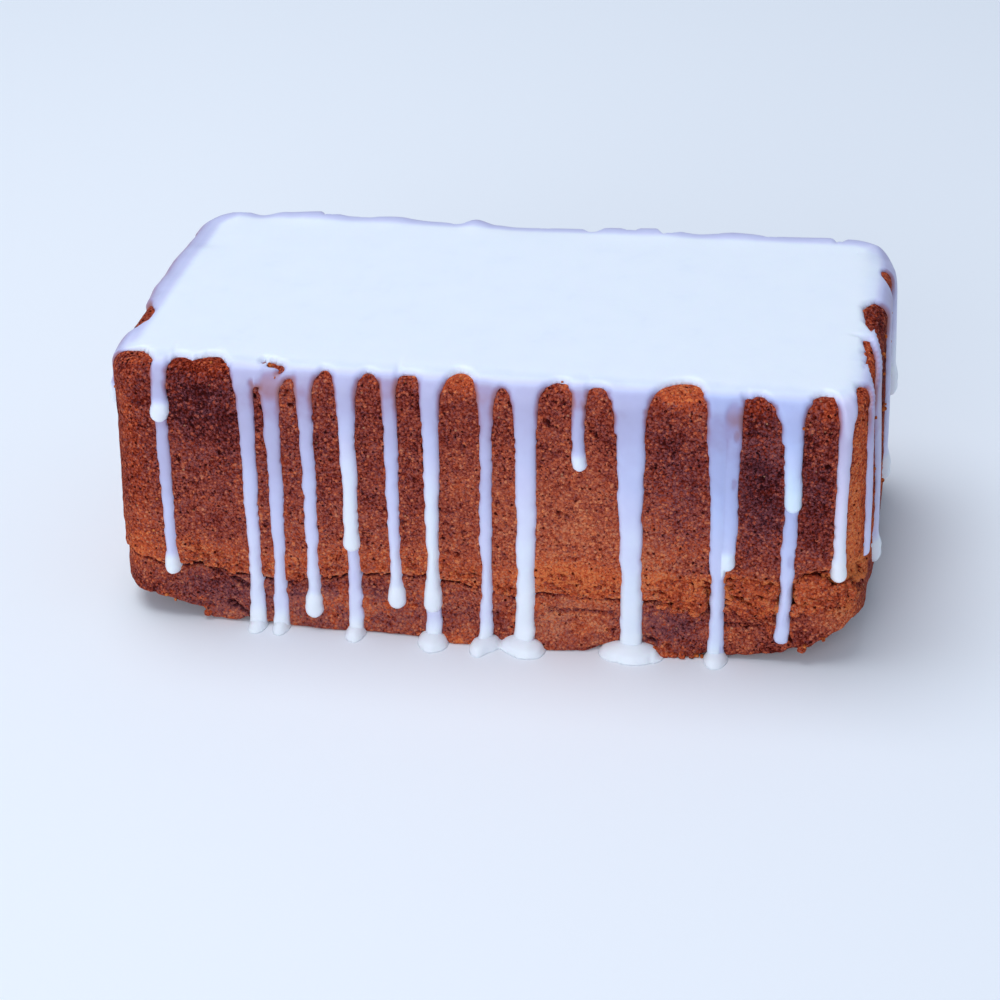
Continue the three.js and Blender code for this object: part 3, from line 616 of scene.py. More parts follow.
def crust_looks(u, z, line, points):
    """How light, how red and how smooth the baked crust is, each from 0 to 1; the lightness takes in painted
    light and shade, and smoothness brings a painted sheen.
    """
    x = front_x(u)
    above = z - line
    on_front = front_mask(x, 122.0, 112.0)
    mottle = fractal(points, 9.0, 3, 5)
    streaks = fractal(points * np.array([0.5, 0.5, 1.0]), 4.2, 3, 15)
    middle = on_front * smooth(20.0, 28.0, z) * smooth(74.0, 64.0, z)
    scuffs = smooth(0.0, -1.0, above) * torn(points, 7.0, 65, 0.2)
    band = smooth(BAND_HEIGHT, 7.0, above) * smooth(-0.2, 0.5, above)

    # Painted light: the crust is lighter lower down, standing in for the bright plate's bounce.
    tone = 0.5 + 0.12 * smooth(82.0, 20.0, z)
    tone += (0.2 - 0.12 * middle) * mottle
    tone += (0.16 - 0.08 * middle) * streaks
    tone += on_front * patch_sum(TONE_PATCHES, x, z) + (1.0 - on_front) * 0.2 * fractal(points, 55.0, 2, 8)
    # Painted light: the crust's top rim, which faces up, is lighter.
    tone += 0.12 * smooth(86.0, 88.5, z)
    tone += 0.12 * scuffs
    tone += 0.15 * band
    # Painted shade darkens the crack's line, most where it gapes.
    tone -= (0.15 + 0.4 * crack_open(u, points)) * bell(above, -0.4, CRACK_HALF_WIDTH)

    red = 0.45 * band + 0.5 * smooth(84.5, 87.5, z) + 0.35 * np.maximum(mottle + streaks, 0.0)
    red += on_front * 0.8 * np.minimum(patch_sum(RED_PATCHES, x, z), 1.0)
    red += (1.0 - on_front) * 0.5 * smooth(-0.3, 0.5, fractal(points, 40.0, 2, 9))
    # The right corner is redder as well, the colour of its painted highlight.
    before_right = smooth(RIGHT_START + SIDE_Y, RIGHT_START, u)
    red += 0.5 * smooth(104.0, 108.0, x) * smooth(26.0, 36.0, z) * before_right
    red += 0.5 * scuffs

    # Smooth crust gets less grain and a purplish sky sheen painted into its colour: below the crack off the
    # front, and in patches on it.
    flat = smooth(0.0, -1.0, above) * (0.6 + 0.5 * mottle) * (1.0 - on_front)
    smooth_sheen = np.minimum(patch_sum(SMOOTH_SHEEN_PATCHES, x, z), 1.0)
    flat += on_front * smooth_sheen * smooth(-0.6, 0.5, mottle + 0.3)
    flat *= 1.0 - 0.9 * scuffs
    return tone, np.clip(red, 0.0, 1.0), np.clip(flat, 0.0, 1.0)


def hollows(relief):
    """How far each place of a grid that closes round the loaf lies below what surrounds it."""
    around_it = relief.copy()
    for _ in range(3):
        padded = np.pad(around_it, ((1, 1), (0, 0)), mode="edge")
        rows = (padded[:-2] + padded[1:-1] + padded[2:]) / 3
        around_it = (np.roll(rows, 1, axis=1) + rows + np.roll(rows, -1, axis=1)) / 3
    return np.clip(around_it - relief, -0.45, 1.0)


def sponge_rows(line, wall_end):
    """q and inset of every ring of the top's edge and the wall, closer together at the crack."""
    start = np.concatenate([np.linspace(FIRST_RING_Q, 0.0, 8), np.linspace(0.9, EDGE_ARC, 10)])
    rows = [(np.full(len(line), q), 0.0) for q in start]
    crack_top = line + 0.1
    for part in np.linspace(0.0, 1.0, ROWS_ABOVE_CRACK + 1)[1:]:
        eased_part = part + 0.16 * math.sin(math.pi * part) * part
        rows.append((depth_of(EDGE_BOTTOM + (crack_top - EDGE_BOTTOM) * eased_part), 0.0))
    for part in np.linspace(0.0, 1.0, ROWS_BELOW_CRACK + 1)[1:]:
        rows.append((depth_of(crack_top + (wall_end - crack_top) * part ** 1.35), 0.0))
    for angle in np.radians(BOTTOM_ANGLES):
        q = depth_of(wall_end - BOTTOM_RADIUS * math.sin(angle))
        rows.append((q, BOTTOM_RADIUS * (1.0 - math.cos(angle))))
    depths, insets = zip(*rows)
    return np.stack(depths), np.array(insets)[:, None]


def underside(stations, bottom):
    """The rings of the underside, from the wall inwards, down to the floor."""
    x, y, nx, ny = outline(stations)
    rings = []
    for inset, part_x, part_y, rise in UNDER_ROWS:
        px, py = (x - nx * inset) * part_x, (y - ny * inset) * part_y
        ring = np.stack([px + SKEW * py, py, rise * bottom], axis=-1)
        ring[:, 2] += 0.3 * np.maximum(fractal(ring, 4.0, 2, 95), 0.0) * (rise > 0)
        rings.append(ring)
    return np.stack(rings)


def closed_rings(count, rings):
    """Faces of a grid of rings of count points each, with a fan at either end to its first and last point."""
    first = 1 + count * np.arange(rings)[:, None] + np.arange(count)[None, :]
    after = np.roll(first, -1, axis=1)
    quads = np.stack([first[:-1], first[1:], after[1:], after[:-1]], axis=-1).reshape(-1, 4).tolist()
    last = 1 + count * rings
    fans = [[0, a, b] for a, b in zip(first[0].tolist(), after[0].tolist())]
    fans += [[a, last, b] for a, b in zip(first[-1].tolist(), after[-1].tolist())]
    return quads + fans


def build_sponge():
    stations = uneven_stations(SPONGE_FINE, SPONGE_COARSE)
    line = crack_line(stations)
    foot = skin(stations, 60.0, 0.0)
    bottom = bottom_at(stations) + 0.45 * lattice_noise(foot, 3.2, 91)
    bottom += 0.3 * lattice_noise(foot, 1.3, 92)
    bottom = np.maximum(bottom, 0.0)
    q, insets = sponge_rows(line, bottom + BOTTOM_RADIUS)
    u = np.broadcast_to(stations, q.shape)
    z = height_of(q)
    lines = np.broadcast_to(line, q.shape)
    base = skin(u, q, 0.0)
    relief = crumb_relief(u, z, lines, base)
    covered = np.maximum(icing_fields(u, q)[0], run_fields(u, q)[0])
    relief = np.minimum(relief, np.interp(covered, COVER, RELIEF_UNDER_COVER))
    points = skin(u, q, relief - insets)
    rounded = len(BOTTOM_ANGLES)
    points[-rounded:, :, 2] = z[-rounded:]

    tone, red, flat = crust_looks(u, z, lines, base)
    rubble = smooth(RUBBLE_HEIGHT, 8.0, z - lines) * smooth(-2.5, -0.5, z - lines)
    rubble = rubble * smooth(46.0, 60.0, front_x(u)) * smooth(*RUBBLE_END, front_x(u))
    # Painted shade: the tone is darker in the relief's hollows, most among the clods.
    tone = tone - (0.5 + 0.9 * rubble) * hollows(relief) + 0.24 * rubble
    red = np.minimum(red + 0.4 * rubble, 1.0)

    under = underside(stations, bottom)
    under_tone = 0.4 + 0.2 * fractal(under, 12.0, 3, 96)
    points = np.concatenate([points, under])
    rings, count = points.shape[:2]
    points = points.reshape(-1, 3)
    points[:, 2] = np.maximum(points[:, 2], 0.0)
    poles = np.array([[0.0, 0.0, HEIGHT - 0.4], [0.0, 0.0, 0.0]])

    def with_under(values, under_values):
        return np.concatenate([[0.5], values.ravel(), under_values.ravel(), [0.5]])

    looks = {
        "tone": with_under(tone, under_tone),
        "red": with_under(red, np.full_like(under_tone, 0.2)),
        "flat": with_under(flat, np.full_like(under_tone, 0.3)),
    }
    points = np.concatenate([poles[:1], points, poles[1:]])
    return make_object("sponge_crumb", points, closed_rings(count, rings), looks)


# ---- icing

ICING_FINE = 0.48
ICING_COARSE = 0.68
TOP_ROW = -5.8  # q of the grid's first row; inside it the top is filled in coarser
TOP_STEP = 2.6
DIVE = 0.5  # how far under the skin the icing's edges go
CRACK_DIVE = 2.2
BACKING = 0.35  # how far under the edges the icing's hidden side lies
TOP_THICKNESS = 1.35
EDGE_THICKNESS = 1.0
BULB_THICKNESS = 1.9
USUAL_BULB_WIDTH = 5.4
LEAST_BULB_THICKNESS = 1.75
MOST_ROUNDING = 2.6  # how wide the rounding at a drip's side may be
EDGE_TRIM = 0.2  # how much narrower a drip is to either side than its width, which takes in its rounding
FOOT_RISE = 4.2
FOOT_REACH = 6.0
FOOT_RIM = 0.45  # height of a pool's rounded rim, and how wide it is
FOOT_ROUNDING = 1.2
FOOT_BODY = 1.22  # how solid the pools look
FLOOR_CLEARANCE = 0.05
ROOT_Q = 1.5  # q at which a slanting drip leaves the top, and q where it hangs straight
SLANT_Q = 8.0
OUTSIDE = -50.0  # a footprint that is far off
WINDOW_REACH = 30.0  # how far to either side of its middle a window, a drip, a thin run and a pool can matter
DRIP_REACH = 32.0
RUN_REACH = 12.0
POOL_REACH = 20.0
CAP_FADE = (11.0, 2.0)  # q at which the cap's own thickness has faded out, and where it is still in full
TOP_ROWS = [TOP_ROW, -4.8, -3.9, -3.2, -2.5, -1.8, -1.1]
POOL_FINE = 0.45
POOL_COARSE = 0.7
POOL_STEP = 0.42
# How solid the icing looks down the side, by q; whiter lower down, partly for thicker icing and partly as
# painted light from the plate's bounce
RUN_OUT_Q = [1.2, 4.0, 8, 12, 20, 31, 41, 51, 61, 71, 80]
RUN_OUT = [1.0, 0.57, 0.53, 0.53, 0.59, 0.64, 0.72, 0.81, 0.88, 0.95, 1.0]
# How bluish the icing looks as painted shade, by x of the front; below 0 it turns warmer instead
SHADE_TINT_X = [20.0, 45.0, 64.0, 90.0, 97.0, 110.0]
SHADE_TINT = [0.0, 0.3, 0.9, 0.75, -0.8, 0.0]
TOP_HEIGHT = 76.0  # heights at which a drip's first two places and widths are measured
HALF_HEIGHT = 45.0
# The hollow where the top slopes off to its back left corner: how far in from the left end, half-width, and y
# where it starts and ends
HOLLOW_INWARD = 7.0
HOLLOW_HALF_WIDTH = 5.0
HOLLOW_START = (19.0, 25.0)
HOLLOW_END = (50.0, 40.0)


def back_drips():
    """The back's drips take the front's widths in another order; places and lengths vary at random."""
    pitch = 2 * SIDE_X / BACK_DRIP_COUNT
    drips = []
    for i in range(BACK_DRIP_COUNT):
        _, _, _, top, half, end, _, end_width, thickness, _ = FRONT_DRIPS[(i * 5 + 3) % BACK_DRIP_COUNT]
        x = -SIDE_X + pitch * (i + 0.5 + 0.3 * (random_of(i + 11) - 0.5))
        ending = FOOT if abs(x) < BACK_PLATE_REACH and random_of(i + 40) < 0.5 else BULB
        height = 0 if ending == FOOT else 14 + 50 * random_of(i + 70)
        lean = 2.4 * (random_of(i + 90) - 0.5)
        end_width = min(end_width, 9 if ending == FOOT else 5.6)
        widths = (min(top, 8), min(half, 6), min(end, 5.2))
        drips.append((x, x + lean / 2, x + lean, *widths, height, end_width, thickness, ending))
    return [BACK_CORNER_DRIPS[0], *drips, BACK_CORNER_DRIPS[1]]


def back_windows():
    """A window between each two of the back's drips."""
    drips = back_drips()
    sides = [(x - top / 2, x + top / 2) for x, _, _, top, *_ in drips]
    windows = []
    for i, ((_, left), (right, _)) in enumerate(zip(sides, sides[1:])):
        tip = left + (right - left) * (0.4 + 0.2 * random_of(i + 150))
        q_tip = 1.0 + 3.5 * random_of(i + 130) + 1.5 * max(4.0 - (right - left), 0.0)
        windows.append((tip, q_tip, right, left, 2, 2))
    return windows


def placed_drips():
    """Every thick drip with its places as u, and u and width of the root it slants from, if it has one."""
    sides = by_side(FRONT_DRIPS, RIGHT_DRIPS, back_drips(), LEFT_DRIPS)
    drips = [(at(a), at(b), at(c), *rest) for side_drips, at in sides for a, b, c, *rest in side_drips]
    roots = [None] * len(drips)
    first = len(FRONT_DRIPS)
    roots[first:first + len(RIGHT_ROOTS)] = [(right_at(y), width) for y, width in RIGHT_ROOTS]
    return list(zip(drips, roots))


def placed_windows():
    """Every window as u and q of its tip, its reach to either side and the bluntness of either side."""
    found = []
    for windows, at in by_side(FRONT_WINDOWS, RIGHT_WINDOWS, back_windows(), LEFT_WINDOWS):
        for tip, q_tip, left, right, *blunt in windows:
            found.append((at(tip), q_tip, at(tip) - at(left), at(right) - at(tip), *blunt))
    return found


def smooth_most(a, b, reach):
    """The larger of two fields, with the crease between them rounded off."""
    part = np.clip(0.5 + 0.5 * (a - b) / reach, 0.0, 1.0)
    return b + (a - b) * part + reach * part * (1.0 - part)


def cap_field(u, q):
    """How far inside the poured cap's edge a place lies; the edge runs over the windows in arches."""
    points = skin(u, q, 0.0)
    ragged = 0.55 * lattice_noise(points, 3.1, 12) + 0.5 * lattice_noise(points, 1.4, 13)
    ragged *= smooth(18.0, 8.0, q) * (0.45 + 0.75 * smooth(-0.4, 0.6, lattice_noise(points, 14.0, 14)))
    field = ARCH_FOOT + 1.0 - q
    for tip, q_tip, reach_left, reach_right, blunt_left, blunt_right in placed_windows():
        across = around(u, tip)
        reach = np.where(across < 0, reach_left, reach_right)
        blunt = np.where(across < 0, blunt_left, blunt_right)
        side = np.maximum(np.abs(across) / reach, 0.05)
        rise = ARCH_FOOT - q_tip
        up = np.maximum((ARCH_FOOT - q) / rise, 0.0)
        total = side ** blunt + up ** 2
        steepness = np.hypot(blunt * side ** (blunt - 1.0) / reach, 2.0 * up / rise)
        power = total / (blunt * side ** blunt + 2.0 * up ** 2)
        distance = (total - total ** (1.0 - power)) / (power * np.maximum(steepness, 1e-12))
        field = np.minimum(field, np.where(np.abs(across) < WINDOW_REACH, distance, -OUTSIDE))
    for x, hole_q, radius in FRONT_HOLES:
        field = np.minimum(field, np.hypot(around(u, front_at(x)), q - hole_q) - radius)
    return field + ragged


def wobble(q, seed):
    """Small unevenness of a drip's sides."""
    points = np.stack(np.broadcast_arrays(np.full_like(q, seed * 9.7), q, np.zeros_like(q)), axis=-1)
    coarse = 0.2 * lattice_noise(points, 8.0, seed) + 0.24 * lattice_noise(points, 3.4, seed + 50)
    return coarse + 0.2 * lattice_noise(points, 1.7, seed + 90)


def bulb_field(u, q, centre, height, end_width):
    """The footprint of a drip's round end."""
    radius = end_width / 2
    middle = depth_of(height + radius)
    return radius - np.hypot(around(u, centre), (q - middle) * np.where(q > middle, 1.0, 0.6))


def drip_field(u, q, drip, root, index):
    """Footprint, thickness, rounding and side distance of one drip."""
    top, half, end, w_top, w_half, w_end, height, end_width, thickness, ending = drip
    q_end = depth_of(max(height, 1.0))
    places = [(ROOT_Q, *root), (SLANT_Q, top, w_top)] if root else []
    places.append((depth_of(TOP_HEIGHT), top, w_top))
    if height < HALF_HEIGHT - 8:
        places.append((depth_of(HALF_HEIGHT), half, w_half))
    places.append((q_end, end, w_end))
    qs, centres, widths = zip(*places)
    centre = np.interp(q, qs, centres)
    width = np.interp(q, qs, widths)
    across = around(u, centre)
    uneven = np.where(across > 0, wobble(q, 2 * index), wobble(q, 2 * index + 1))
    flare = 0.5 * (end_width - w_end) * smooth(2.2 * end_width, 0.9 * end_width, q_end - q) * (ending == BULB)
    field = width / 2 + flare - EDGE_TRIM * smooth(70.0, 64.0, q) + uneven - np.abs(across)
    radius = np.minimum(width / 2, MOST_ROUNDING)
    thick = thickness * (0.7 + 0.3 * smooth(4.0, 40.0, q))
    if ending == BULB:
        stem_end = q_end - end_width * 0.5
        field = np.minimum(field, stem_end - q)
        field = smooth_most(field, bulb_field(u, q, end, height, end_width), 0.5)
        near_end = smooth(end_width * 1.35, end_width * 0.4, np.abs(q - stem_end))
        bulb = max(BULB_THICKNESS * end_width / USUAL_BULB_WIDTH, LEAST_BULB_THICKNESS)
        thick = thick + (min(bulb, 2.3 * thickness) - thick) * near_end
        radius = radius + (end_width / 2 - radius) * near_end
    elif ending == TIP:
        field = -smooth_most(-field, q - q_end, 1.6)
    else:
        near_end = smooth(9.0, 0.0, depth_of(0.0) - q)
        thick = thick + 0.7 * near_end
        field = field + 0.35 * near_end
    return field, thick, radius, np.abs(across)


def run_field(u, q, run, index):
    """The same for a thin run, which starts below a bulb."""
    top, end, width, top_height, height, end_width, thickness, ending = run
    ends = (front_at(top), front_at((top + end) / 2), front_at(end))
    drip = (*ends, width, width, width, height, end_width, thickness, ending)
    field, thick, radius, _ = drip_field(u, q, drip, None, index)
    return np.minimum(field, q - depth_of(top_height)), thick, radius


def thin_spots(u, q):
    """How much each place is thinned by the small thin spots, from 0 to 1."""
    x, z = front_x(u), height_of(q)
    total = 0.0
    for px, pz, wide, high, loss in FRONT_THIN_SPOTS:
        total = total + loss * smooth(1.3, 0.6, np.hypot((x - px) / wide, (z - pz) / high))
    return np.minimum(total, 1.0) * smooth(0.8, 3.2, q)


def take_over(fields, close, mine, own):
    """Where a place is mine, among those that are close, each field takes its own new value."""
    for field, values in zip(fields, own):
        field[close] = np.where(mine, values, field[close])


def icing_fields(u, q):
    """Footprint (inside above 0), height above the skin and rounding of the cap with its thick drips."""
    cap = cap_field(u, q)
    footprint = np.full_like(q, OUTSIDE)
    nearest = np.full_like(q, 99.0)
    thick = np.full_like(q, 1.0)
    radius = np.full_like(q, 2.0)
    for index, (drip, root) in enumerate(placed_drips()):
        close = np.abs(around(u, drip[0])) < DRIP_REACH
        field, own_thick, own_radius, across = drip_field(u[close], q[close], drip, root, index)
        field = np.where(q[close] < 2.0, OUTSIDE, field)
        mine = across < nearest[close]
        footprint[close] = smooth_most(field, footprint[close], 0.8)
        take_over((nearest, thick, radius), close, mine, (across, own_thick, own_radius))
    footprint = smooth_most(cap, footprint, 0.8)
    on_cap = smooth(*CAP_FADE, q)
    cap_thick = EDGE_THICKNESS + (TOP_THICKNESS - EDGE_THICKNESS) * smooth(3.0, -4.5, q)
    thick = thick + (cap_thick - thick) * on_cap
    radius = radius + (1.9 - radius) * on_cap
    thick = thick * (1.0 - thin_spots(u, q))
    return footprint, thick, radius


def run_fields(u, q):
    """The same for the thin runs that go on below the bulbs."""
    footprint = np.full_like(q, OUTSIDE)
    thick = np.full_like(q, 0.7)
    radius = np.full_like(q, 2.0)
    for index, run in enumerate(FRONT_RUNS):
        close = np.abs(around(u, front_at(run[0]))) < RUN_REACH
        field, own_thick, own_radius = run_field(u[close], q[close], run, 60 + index)
        mine = field > footprint[close]
        take_over((footprint, thick, radius), close, mine, (field, own_thick, own_radius))
    thick = thick * (1.0 - thin_spots(u, q))
    return footprint, thick, radius


def feet():
    """The pools at the ends of the drips that reach the plate: u, half-width, reach and height."""
    found = [(drip[2], drip[7]) for drip, _ in placed_drips() if drip[-1] == FOOT]
    found += [(front_at(run[1]), run[5]) for run in FRONT_RUNS if run[-1] == FOOT]
    pools = []
    for u, width in found:
        pools.append((u, width / 2, min(2.4 + width * 0.4, FOOT_REACH), min(1.7 + width * 0.1, FOOT_RISE)))
    return pools


def foot_fields(u, out):
    """Footprint and height above the floor of the pools; out is how far a place lies from the wall."""
    footprint = np.full_like(u, OUTSIDE)
    height = np.zeros_like(u)
    for index, (centre, half_width, reach, rise) in enumerate(feet()):
        across = around(u, centre)
        close = np.abs(across) < POOL_REACH
        uneven = wobble(across + 40.0 * index, 200 + index)
        uneven += 0.5 * wobble(0.3 * across + 9.0 * index, 230 + index)
        spread = np.hypot(across / half_width, np.maximum(out, 0.0) / reach)
        field = (1.0 - spread) * min(half_width, reach) + uneven
        hill = rise * np.maximum(1.0 - spread ** 2, 0.0) ** 0.65 * smooth(-0.2, 1.2, field)
        height = np.where(close, smooth_most(hill, height, 0.8), height)
        footprint = np.where(close, smooth_most(field, footprint, 1.5), footprint)
    return footprint, height


def dive_at(u, q):
    """How far under the skin the icing's edge goes, deeper where the crust is torn."""
    above = height_of(q) - crack_at(u)
    return DIVE + (CRACK_DIVE - DIVE) * smooth(BAND_HEIGHT, 8.0, above) * smooth(-7.0, -3.0, above)


def rim_lumps(u, q):
    """The rim's own lumps and dips."""
    return rim_at(u) * bell(q, 3.5, 5.5)


def top_waves(points):
    """The top's slow unevenness, and the hollow where it slopes off to the back left corner."""
    x, y, z = np.moveaxis(points, -1, 0)
    inward = x - SKEW * y + LENGTH / 2
    hollow = bell(inward, HOLLOW_INWARD, HOLLOW_HALF_WIDTH)
    hollow *= smooth(*HOLLOW_START, y) * smooth(*HOLLOW_END, y)
    return 0.22 * fractal(points, 38.0, 2, 21) - 0.9 * hollow * smooth(80.0, 87.0, z)


def raised(q, footprint, thick, radius, dive):
    """The icing's height above the skin: rounded up from its dived edge, more gently on the cap."""
    part = np.clip(footprint / radius, 0.0, 1.0)
    return -dive + (thick + dive) * (1.0 - (1.0 - part) ** 2) ** (0.5 + 0.35 * smooth(11.0, 4.0, q))


def grid_cells(inside, footprint, us, qs):
    """Marching squares on a grid that closes round the loaf: corner ids, edge crossings and faces."""
    columns = inside.shape[1]
    ids = np.full(inside.shape, -1)
    ids[inside] = np.arange(inside.sum())
    count = int(inside.sum())
    crossings, crossing_places = {}, []

    def crossing(a, b):
        key = (a, b) if a < b else (b, a)
        if key not in crossings:
            (ra, ca), (rb, cb) = key
            fa, fb = footprint[ra, ca], footprint[rb, cb]
            part = min(max(fa / (fa - fb), 0.04), 0.96)
            step = us[cb] - us[ca]
            step -= PERIMETER * round(step / PERIMETER)
            crossing_places.append((us[ca] + step * part, qs[ra] + (qs[rb] - qs[ra]) * part))
            crossings[key] = count + len(crossings)
        return crossings[key]

    right = (np.arange(columns) + 1) % columns
    a, b, c, d = inside[:-1], inside[1:], inside[1:, right], inside[:-1, right]
    full = a & b & c & d
    row, column = np.nonzero(full)
    after = right[column]
    quads = (ids[row, column], ids[row + 1, column], ids[row + 1, after], ids[row, after])
    faces = np.stack(quads, axis=-1).tolist()
    partly = (a | b | c | d) & ~full
    for r, k in zip(*(axis.tolist() for axis in np.nonzero(partly))):
        n = int(right[k])
        corners = [(r, k), (r + 1, k), (r + 1, n), (r, n)]
        flags = [bool(inside[corner]) for corner in corners]
        if flags in ([True, False, True, False], [False, True, False, True]):
            for i in range(4):
                if flags[i]:
                    own, last, following = corners[i], corners[i - 1], corners[(i + 1) % 4]
                    faces.append([int(ids[own]), crossing(own, following), crossing(own, last)])
            continue
        face = []
        for i in range(4):
            following = corners[(i + 1) % 4]
            if flags[i]:
                face.append(int(ids[corners[i]]))
            if flags[i] != flags[(i + 1) % 4]:
                face.append(crossing(corners[i], following))
        faces.append(face)
    return ids, count, crossings, np.array(crossing_places), faces


def body_of(u, q, footprint, thick):
    """How solid the icing looks, about 1 on the top, with painted light and shade worked in; it is thinnest
    just below the edge and at its rims.
    """
    # RUN_OUT whitens it lower down, partly as painted light from the plate's bounce.
    body = np.interp(q, RUN_OUT_Q, RUN_OUT) * (thick / 1.3) ** 0.6
    body = body + (1.08 - body) * smooth(1.2, 1.95, thick)
    root = smooth(0.5, 4.0, q) * smooth(20.0, 9.0, q)
    body = body * (1.0 - (0.12 + 0.4 * root) * smooth(1.6, 0.0, footprint))
    # Painted shade: darker where the icing bends over the far edge, round the back and the left end.
    far = smooth(RIGHT_START + 2 * SIDE_Y, BACK_START, u) * smooth(PERIMETER - 15.0, PERIMETER - 30.0, u)
    return body * (1.0 - 0.36 * far * smooth(-3.0, 0.5, q) * smooth(12.0, 6.0, q))


def shade_tint_at(u):
    """How bluish the icing looks as painted shade: most at the front's fourth fifth, and least at its right
    end, where it turns warmer.
    """
    return np.interp(front_x(u), SHADE_TINT_X, SHADE_TINT)


def hidden_side(faces, count, shift):
    """The faces of the hidden side, which shares the rim's points with the outer side."""
    return [[v + shift if v < count else v for v in reversed(face)] for face in faces]


def bottom_strip(inside, ids, crossings, shift):
    """Faces that close the last row, where the icing stands on the floor."""
    last = inside.shape[0] - 1
    columns = inside.shape[1]
    strip = []
    for k in range(columns):
        a, b = (last, k), (last, (k + 1) % columns)
        if inside[a] and inside[b]:
            strip.append([int(ids[a]), int(ids[a]) + shift, int(ids[b]) + shift, int(ids[b])])
        elif inside[a] != inside[b]:
            own = int(ids[a]) if inside[a] else int(ids[b])
            triangle = [own, own + shift, crossings[(a, b) if a < b else (b, a)]]
            strip.append(triangle if inside[a] else triangle[::-1])
    return strip


def icing_shell(name, us, qs, fields, fill_top):
    """A closed skin of icing on the loaf: its outer side, its hidden inner side, and a flat foot."""
    u, q = np.meshgrid(us, qs)
    footprint, thick, radius = fields(u, q)
    inside = footprint > 0.0
    ids, count, crossings, places, faces = grid_cells(inside, footprint, us, qs)
    edge_u, edge_q = places.T
    dive = dive_at(u, q)
    height = raised(q, footprint, thick, radius, dive)
    uneven = top_waves(skin(u, q, 0.0)) * smooth(3.0, -2.0, q) + rim_lumps(u, q)
    height += uneven * smooth(0.0, 2.0, footprint)
    outer = skin(u[inside], q[inside], height[inside])
    rim = skin(edge_u, edge_q, -dive_at(edge_u, edge_q))
    inner = skin(u[inside], q[inside], -dive[inside] - BACKING)
    _, edge_thick, _ = fields(edge_u, edge_q)
    points = [outer, rim, inner]
    u, edge_u = np.mod(u, PERIMETER), np.mod(edge_u, PERIMETER)
    edge_body = body_of(edge_u, edge_q, np.zeros_like(edge_q), edge_thick)
    bodies = [body_of(u, q, footprint, thick)[inside], edge_body, np.zeros(count)]
    # The bluish tint of painted shade, fullest on the upper half of the drips.
    down = smooth(0.0, 5.0, q) * (0.35 + 0.65 * smooth(60.0, 30.0, q)) * shade_tint_at(u)
    shade_tints = [down[inside], 0.5 * shade_tint_at(edge_u), np.zeros(count)]
    shift = count + len(rim)
    faces += hidden_side(faces, count, shift) + bottom_strip(inside, ids, crossings, shift)
    if fill_top:
        more_points, more_faces, more_body = top_fill(us, ids[0], shift, shift + count)
        points.append(more_points)
        bodies.append(more_body)
        shade_tints.append(np.zeros(len(more_body)))
        faces += more_faces
    points = np.concatenate(points)
    points[:, 2] = np.maximum(points[:, 2], FLOOR_CLEARANCE)
    return make_object(name, points, faces, {"body": np.concatenate(bodies), "shade_tint": np.concatenate(shade_tints)})


def top_grid(loop):
    """Places spread evenly over the flat top, inside its loop."""
    reaches = np.abs(loop).max(axis=0) - TOP_STEP * 0.8
    lines = [np.linspace(-reach, reach, int(2 * reach / TOP_STEP)) for reach in reaches]
    return np.stack(np.meshgrid(*lines), axis=-1).reshape(-1, 2)


def top_fill(us, ring, shift, total):
    """The middle of the top, filled in with triangles inside the grid's first ring, outer and hidden side."""
    x, y, nx, ny = outline(us)
    out = profile(np.full_like(us, TOP_ROW))[0]
    loop = np.stack([x + nx * out, y + ny * out], axis=-1)
    corners = [Vector(p) for p in np.concatenate([loop, top_grid(loop)]).tolist()]
    around_loop = [(i, (i + 1) % len(loop)) for i in range(len(loop))]
    found, _, triangles, sources, _, _ = delaunay_2d_cdt(corners, around_loop, [], 1, 1e-5)
    places = np.array([tuple(p) for p in found])
    top = np.stack([places[:, 0] + SKEW * places[:, 1], places[:, 1], np.full(len(places), HEIGHT)], axis=-1)
    waves = top_waves(top)
    number, hidden_number, new_points, new_body = {}, {}, [], []
    for i, source in enumerate(sources):
        on_ring = [s for s in source if s < len(loop)]
        if on_ring:
            number[i] = int(ring[on_ring[0]])
            hidden_number[i] = number[i] + shift
            continue
        number[i] = total + len(new_points)
        new_points.append(top[i] + np.array([0, 0, TOP_THICKNESS + waves[i]]))
        new_body.append(1.02)
        hidden_number[i] = total + len(new_points)
        new_points.append(top[i] - np.array([0, 0, DIVE + BACKING]))
        new_body.append(0.0)
    faces = []
    for triangle in triangles:
        a, b, c = (places[i] for i in triangle)
        turned = np.cross(b - a, c - a) < 0
        ordered = triangle[::-1] if turned else triangle
        faces.append([number[i] for i in ordered])
        faces.append([hidden_number[i] for i in reversed(ordered)])
    return np.array(new_points), faces, np.array(new_body)


def build_icing():
    us = uneven_stations(ICING_FINE, ICING_COARSE)
    over_edge = np.linspace(-0.4, 12.0, 19)
    down = np.linspace(12.75, depth_of(FLOOR_CLEARANCE), 104)
    qs = np.concatenate([TOP_ROWS, over_edge, down])
    return icing_shell("icing_coat", us, qs, icing_fields, True)


def build_runs():
    us = uneven_stations(ICING_FINE, ICING_COARSE * 4)
    qs = np.linspace(depth_of(TOP_HEIGHT), depth_of(FLOOR_CLEARANCE), 120)
    return icing_shell("icing_runs", us, qs, run_fields, False)


